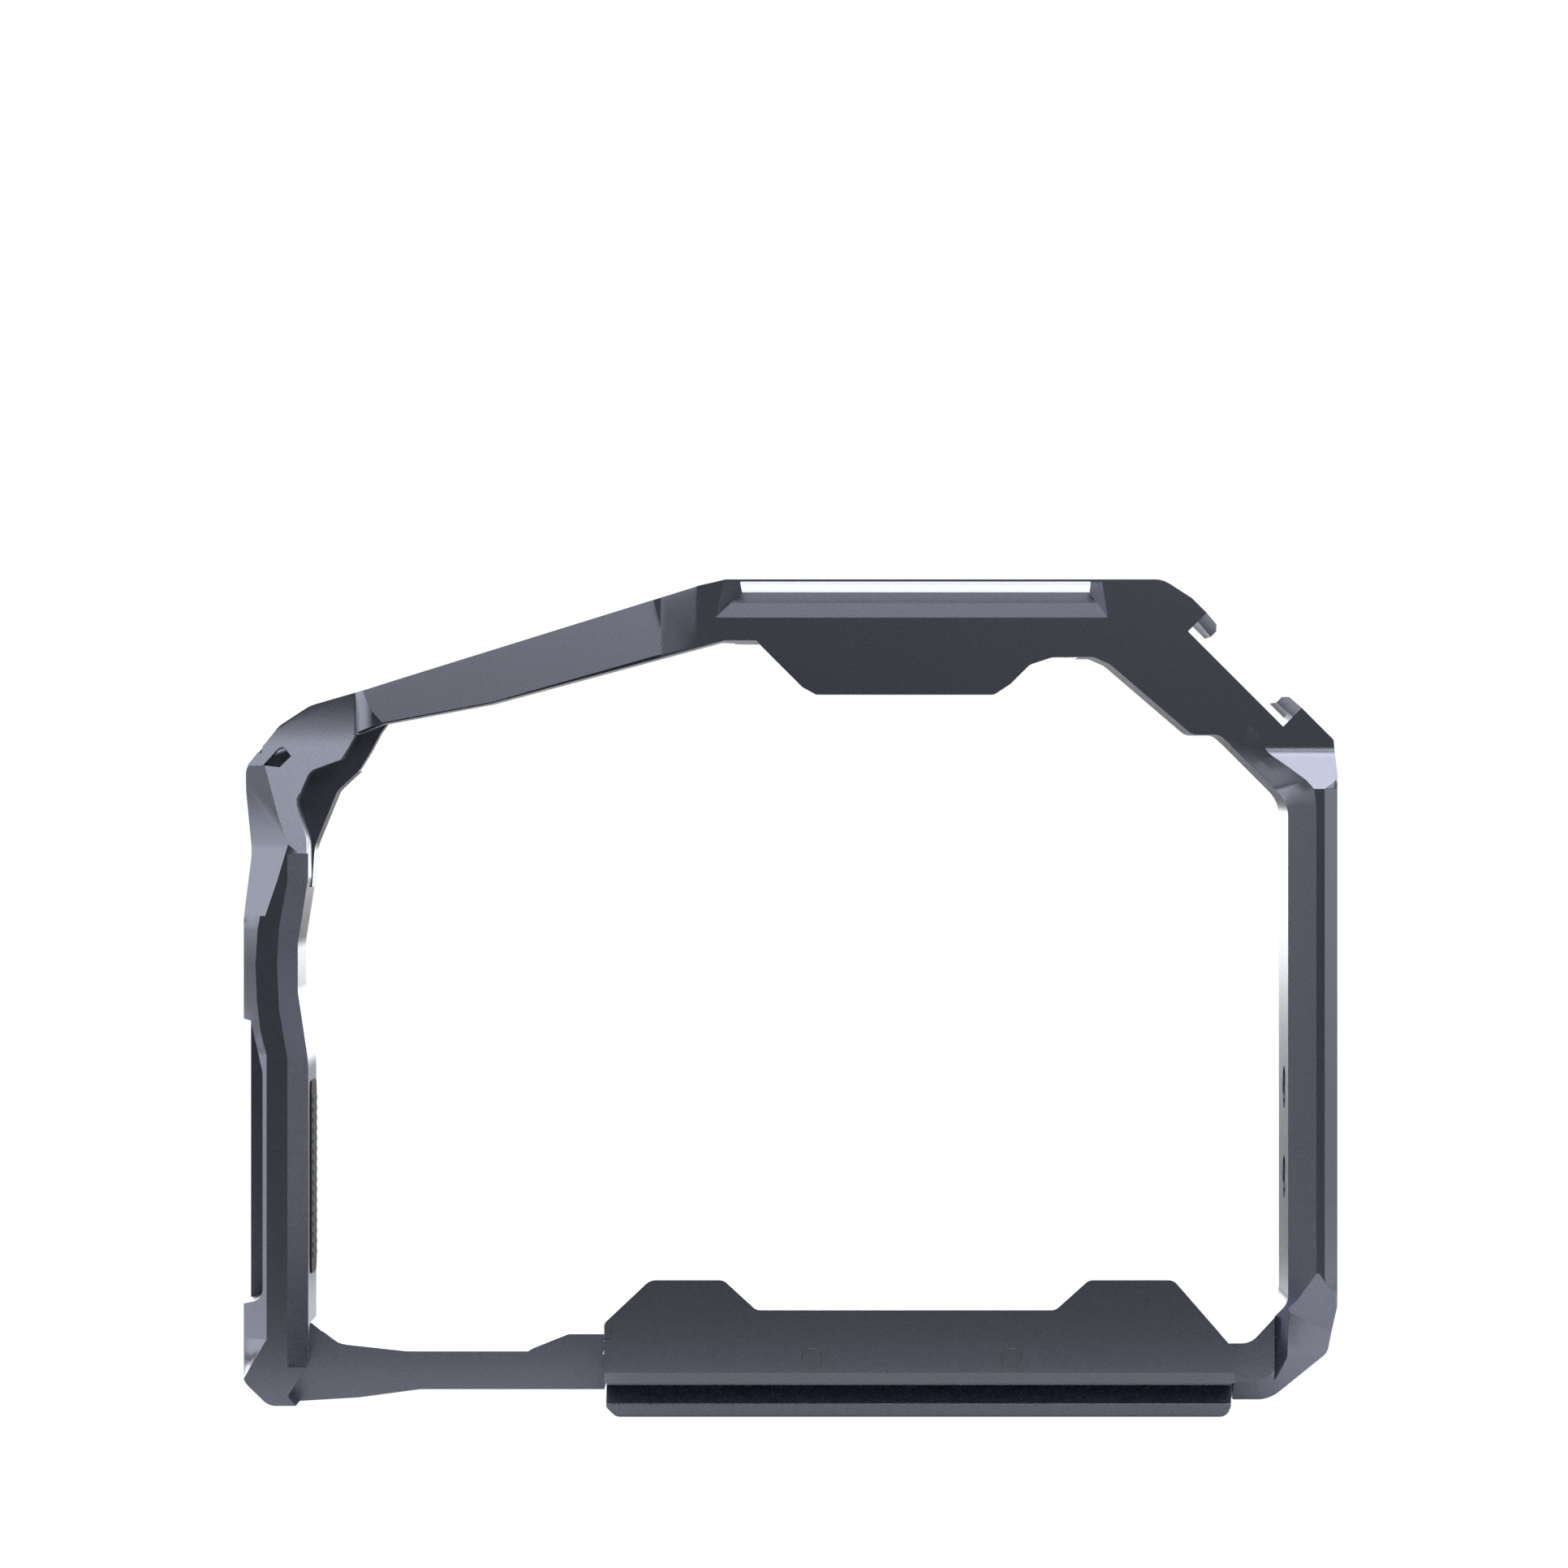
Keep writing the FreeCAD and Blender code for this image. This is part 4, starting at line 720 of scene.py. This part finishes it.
@dataclass
class CameraScrew:
    """The captive screw that holds the camera: its machined head, neck and real thread.

    Attributes:
        thread_low: Height where the full thread starts, in millimetres.
        tip: Height of its tip.
        point: Height of the slanted tip.
        edge_mm: Width of its broken edges.
    """

    thread_low: float = 6.95
    tip: float = 11.56
    point: float = 0.6
    edge_mm: float = 0.1

    def build(self) -> None:
        """Builds the screw and puts it on its body."""
        head = copied_node("camera_screw", "camera_screw_turned")

        def trim() -> None:
            bpy.ops.mesh.bisect(plane_co=(0.0, 0.0, (self.thread_low + 0.02) * MM), plane_no=(0.0, 0.0, 1.0),
                                clear_outer=True)

        edit(head, trim)
        break_edges(head, self.edge_mm)
        core = CAMERA_THREAD.root + 0.02
        straight = self.tip - self.point - self.thread_low
        bpy.ops.object.select_all(action="DESELECT")
        bpy.ops.mesh.primitive_cylinder_add(vertices=48, radius=core * MM, depth=straight * MM,
                                            location=(0.0, 0.0, (self.thread_low + straight / 2) * MM))
        shank = bpy.context.object
        settle(shank)
        bpy.ops.object.select_all(action="DESELECT")
        bpy.ops.mesh.primitive_cone_add(vertices=48, radius1=core * MM, radius2=(core - self.point) * MM,
                                        depth=self.point * MM,
                                        location=(0.0, 0.0, (self.tip - self.point / 2) * MM))
        point = bpy.context.object
        settle(point)
        thread = CAMERA_THREAD.surface("camera_screw_thread", straight)
        thread.location = (0.0, 0.0, self.thread_low * MM)
        settle(thread)
        for part in (shank, point):
            smooth(part)
        only(head)
        for part in (shank, point, thread):
            part.select_set(True)
        bpy.ops.object.join()
        place_piece(head, Body.SCREW, Slot.STEEL, ["camera_screw"])


@dataclass
class RibbedPad:
    """A rubber pad with fine ribs on its open face.

    Attributes:
        node: CAD node of the pad.
        out: Axis that its open face looks along.
        corner_mm: Radius of its corners.
        rib_mm: Height of its ribs.
        pitch_mm: Distance between ribs.
        thick_mm: Thickness, where it isn't the CAD node's.
    """

    node: str
    out: Axis
    corner_mm: float = 2.0
    rib_mm: float = 0.22
    pitch_mm: float = 1.5
    thick_mm: float = 0.0

    def build(self) -> None:
        """Builds the pad and puts it on the frame."""
        low, high = (Vector(corner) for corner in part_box(self.node))
        middle, size = (low + high) / 2, high - low
        if self.out is Axis.Z:
            across, along, thick = size.x, size.y, size.z
        else:
            across, along, thick = size.z, size.y, size.x
        if self.thick_mm:
            middle.x, thick = low.x + self.thick_mm * MM / 2, self.thick_mm * MM
        base = thick - self.rib_mm * MM
        bpy.ops.object.select_all(action="DESELECT")
        bpy.ops.mesh.primitive_plane_add(size=1.0)
        made = bpy.context.object
        made.name = f"{self.node}_ribbed"
        made.scale = (across, along, 1.0)
        settle(made)

        def rise() -> None:
            bpy.ops.mesh.bevel(offset=self.corner_mm * MM, affect="VERTICES", segments=6)
            bpy.ops.mesh.select_all(action="SELECT")
            bpy.ops.mesh.extrude_region_move(TRANSFORM_OT_translate={"value": (0.0, 0.0, base)})
            bpy.ops.mesh.select_all(action="SELECT")
            bpy.ops.mesh.normals_make_consistent(inside=False)

        edit(made, rise)
        break_edges(made, 0.12)
        count = int((across / MM - 2 * self.corner_mm) // self.pitch_mm)
        bpy.ops.object.select_all(action="DESELECT")
        bpy.ops.mesh.primitive_cube_add(size=1.0)
        rib = bpy.context.object
        rib.scale = (0.8 * MM, along - 2.0 * MM, 2 * self.rib_mm * MM)
        settle(rib)
        modify(rib, "BEVEL", width=0.12 * MM, segments=2)
        rib.location = (-(count - 1) / 2 * self.pitch_mm * MM, 0.0, base)
        settle(rib)
        modify(rib, "ARRAY", count=count, use_relative_offset=False, use_constant_offset=True,
               constant_offset_displace=(self.pitch_mm * MM, 0.0, 0.0))
        only(made)
        rib.select_set(True)
        bpy.ops.object.join()
        made.location = (0.0, 0.0, -thick / 2)
        settle(made)
        made.rotation_euler = self.out.value
        settle(made)
        made.location = middle
        settle(made)
        place_piece(made, Body.FRAME, Slot.RUBBER, [self.node])


@dataclass
class KeptNodes:
    """CAD nodes that stay as they are and only get their finish."""

    finishes: dict[str, Slot] = field(default_factory=lambda: dict(SLOT_OF_NODE))

    def build(self) -> None:
        """Gives each CAD node the finish of its slot."""
        for node, slot in self.finishes.items():
            dress(frame["nodes"][node], FINISH_OF_SLOT[slot])
            LOG.info("%s: %s", node, slot.value)


# Studio

@dataclass(frozen=True)
class Lamp:
    """A soft area lamp.

    Attributes:
        name: Name of the lamp.
        place: Where it stands, in metres.
        size: Width and height in metres.
        power: Power in watts.
    """

    name: str
    place: tuple[float, float, float]
    size: tuple[float, float]
    power: float


@dataclass
class Studio:
    """White sweep, soft lamps and the camera.

    Attributes:
        eye: Place of the camera, in metres.
        width: Width of the view where the cage's front stands, in metres.
        front: Depth of that front, in metres.
        lamps: The lamps.
        sky: Strength of the world as the cage sees it.
        back: Strength of the backdrop as the cage sees it.
    """

    eye: tuple[float, float, float] = (-0.01824, -1.116, 0.0910)
    width: float = 0.22604
    front: float = -0.016
    lamps: tuple[Lamp, ...] = (
        Lamp("top_card", (0.0, -0.643, 0.826), (1.5, 0.573), 8.3),
        Lamp("left_card", (-0.9, -0.02, 0.15), (0.8, 0.9), 3.3),
        Lamp("right_card", (0.9, 0.1, 0.12), (0.7, 0.8), 1.3),
        Lamp("rim_card", (0.0, 0.3, 0.95), (1.4, 0.3), 3.0),
        Lamp("corner_card", (0.18, -1.28, 0.49), (0.3, 0.22), 0.7),
    )
    sky: float = 0.07
    back: float = 2.6

    def build(self) -> None:
        """Builds the floor, the backdrop, the lamps, the world and the camera."""
        self._floor()
        self._backdrop()
        for lamp in self.lamps:
            self._lamp(lamp)
        self._world()
        self._camera()

    def _floor(self) -> None:
        """Adds the floor, pale near the cage and dark further out, which shows as plain white to the camera."""
        for name, size, place, shade in (
                ("floor", (6.0, 6.0), (0.0, 0.0, -0.0004), 0.12),
                ("near_floor", (0.7, 0.37), (-0.018, 0.11, -0.0002), 0.9)):
            bpy.ops.object.select_all(action="DESELECT")
            bpy.ops.mesh.primitive_plane_add(size=1.0, location=place)
            floor = bpy.context.object
            floor.name = name
            floor.scale = (*size, 1.0)
            settle(floor)
            material = bpy.data.materials.new(f"{name}_white")
            material.use_nodes = True
            nodes, links = material.node_tree.nodes, material.node_tree.links
            shader = nodes["Principled BSDF"]
            shader.inputs["Base Color"].default_value = (shade, shade, shade, 1.0)
            shader.inputs["Roughness"].default_value = 0.9
            floor.data.materials.append(material)
            self._seen_white(nodes, links, shader.outputs[0], nodes["Material Output"].inputs["Surface"])

    def _backdrop(self) -> None:
        """Adds the bright backdrop that faces tilted upwards mirror."""
        bpy.ops.object.select_all(action="DESELECT")
        bpy.ops.mesh.primitive_plane_add(size=1.0, location=(0.0, 2.4, 1.2), rotation=(math.radians(90.0), 0.0, 0.0))
        backdrop = bpy.context.object
        backdrop.name = "backdrop"
        backdrop.scale = (5.0, 2.4, 1.0)
        settle(backdrop)
        material = bpy.data.materials.new("backdrop_white")
        material.use_nodes = True
        nodes, links = material.node_tree.nodes, material.node_tree.links
        glow = nodes.new("ShaderNodeEmission")
        glow.inputs["Strength"].default_value = self.back
        backdrop.data.materials.append(material)
        self._seen_white(nodes, links, glow.outputs[0], nodes["Material Output"].inputs["Surface"])

    @staticmethod
    def _seen_white(nodes: bpy.types.Nodes, links: bpy.types.NodeLinks, source: bpy.types.NodeSocket,
                    target: bpy.types.NodeSocket) -> None:
        """Puts plain white in a shader's place for camera and transmission rays.

        Args:
            nodes: Nodes of the tree.
            links: Links of the tree.
            source: Shader socket that the light sees.
            target: Socket that takes the result.
        """
        path = nodes.new("ShaderNodeLightPath")
        share = nodes.new("ShaderNodeMath")
        share.operation = "MAXIMUM"
        links.new(path.outputs["Is Camera Ray"], share.inputs[0])
        links.new(path.outputs["Is Transmission Ray"], share.inputs[1])
        white = nodes.new("ShaderNodeEmission")
        white.inputs["Color"].default_value = (1.0, 1.0, 1.0, 1.0)
        white.inputs["Strength"].default_value = 1.0
        mix = nodes.new("ShaderNodeMixShader")
        links.new(share.outputs[0], mix.inputs[0])
        links.new(source, mix.inputs[1])
        links.new(white.outputs[0], mix.inputs[2])
        links.new(mix.outputs[0], target)

    def _lamp(self, lamp: Lamp) -> None:
        """Adds one area lamp that faces the cage.

        Args:
            lamp: The lamp to add.
        """
        data = bpy.data.lights.new(lamp.name, "AREA")
        data.shape = "RECTANGLE"
        data.size, data.size_y = lamp.size
        data.energy = lamp.power
        made = bpy.data.objects.new(lamp.name, data)
        bpy.context.scene.collection.objects.link(made)
        made.location = lamp.place
        aim = Vector((0.0, 0.0, 0.06)) - Vector(lamp.place)
        made.rotation_euler = aim.to_track_quat("-Z", "Y").to_euler()

    def _world(self) -> None:
        """Sets an even dim world, white where the camera sees it."""
        world = bpy.data.worlds.new("studio")
        bpy.context.scene.world = world
        world.use_nodes = True
        nodes, links = world.node_tree.nodes, world.node_tree.links
        back = nodes["Background"]
        back.inputs["Color"].default_value = (0.88, 0.92, 1.0, 1.0)
        back.inputs["Strength"].default_value = self.sky
        self._seen_white(nodes, links, back.outputs[0], nodes["World Output"].inputs["Surface"])

    def _camera(self) -> None:
        """Adds the camera at the height of the frame's middle, looking level."""
        data = bpy.data.cameras.new("view")
        data.sensor_width = 36.0
        data.lens = 36.0 * (self.front - self.eye[1]) / self.width
        made = bpy.data.objects.new("view", data)
        bpy.context.scene.collection.objects.link(made)
        made.location = self.eye
        made.rotation_euler = (math.radians(90.0), 0.0, 0.0)
        bpy.context.scene.camera = made


def main() -> None:
    """Builds the whole scene."""
    logging.basicConfig(level=logging.INFO, format="%(name)s %(message)s")
    bpy.context.scene.view_settings.view_transform = "Standard"
    KeptNodes().build()
    MachinedFrame().build()
    TappedHoles().build()
    SoftenedNodes().build()
    CameraScrew().build()
    RibbedPad("base_pad_left", Axis.Z).build()
    RibbedPad("base_pad_right", Axis.Z).build()
    RibbedPad("left_pad", Axis.X, rib_mm=0.12, thick_mm=0.4).build()
    Studio().build()


if __name__ == "__main__":
    main()
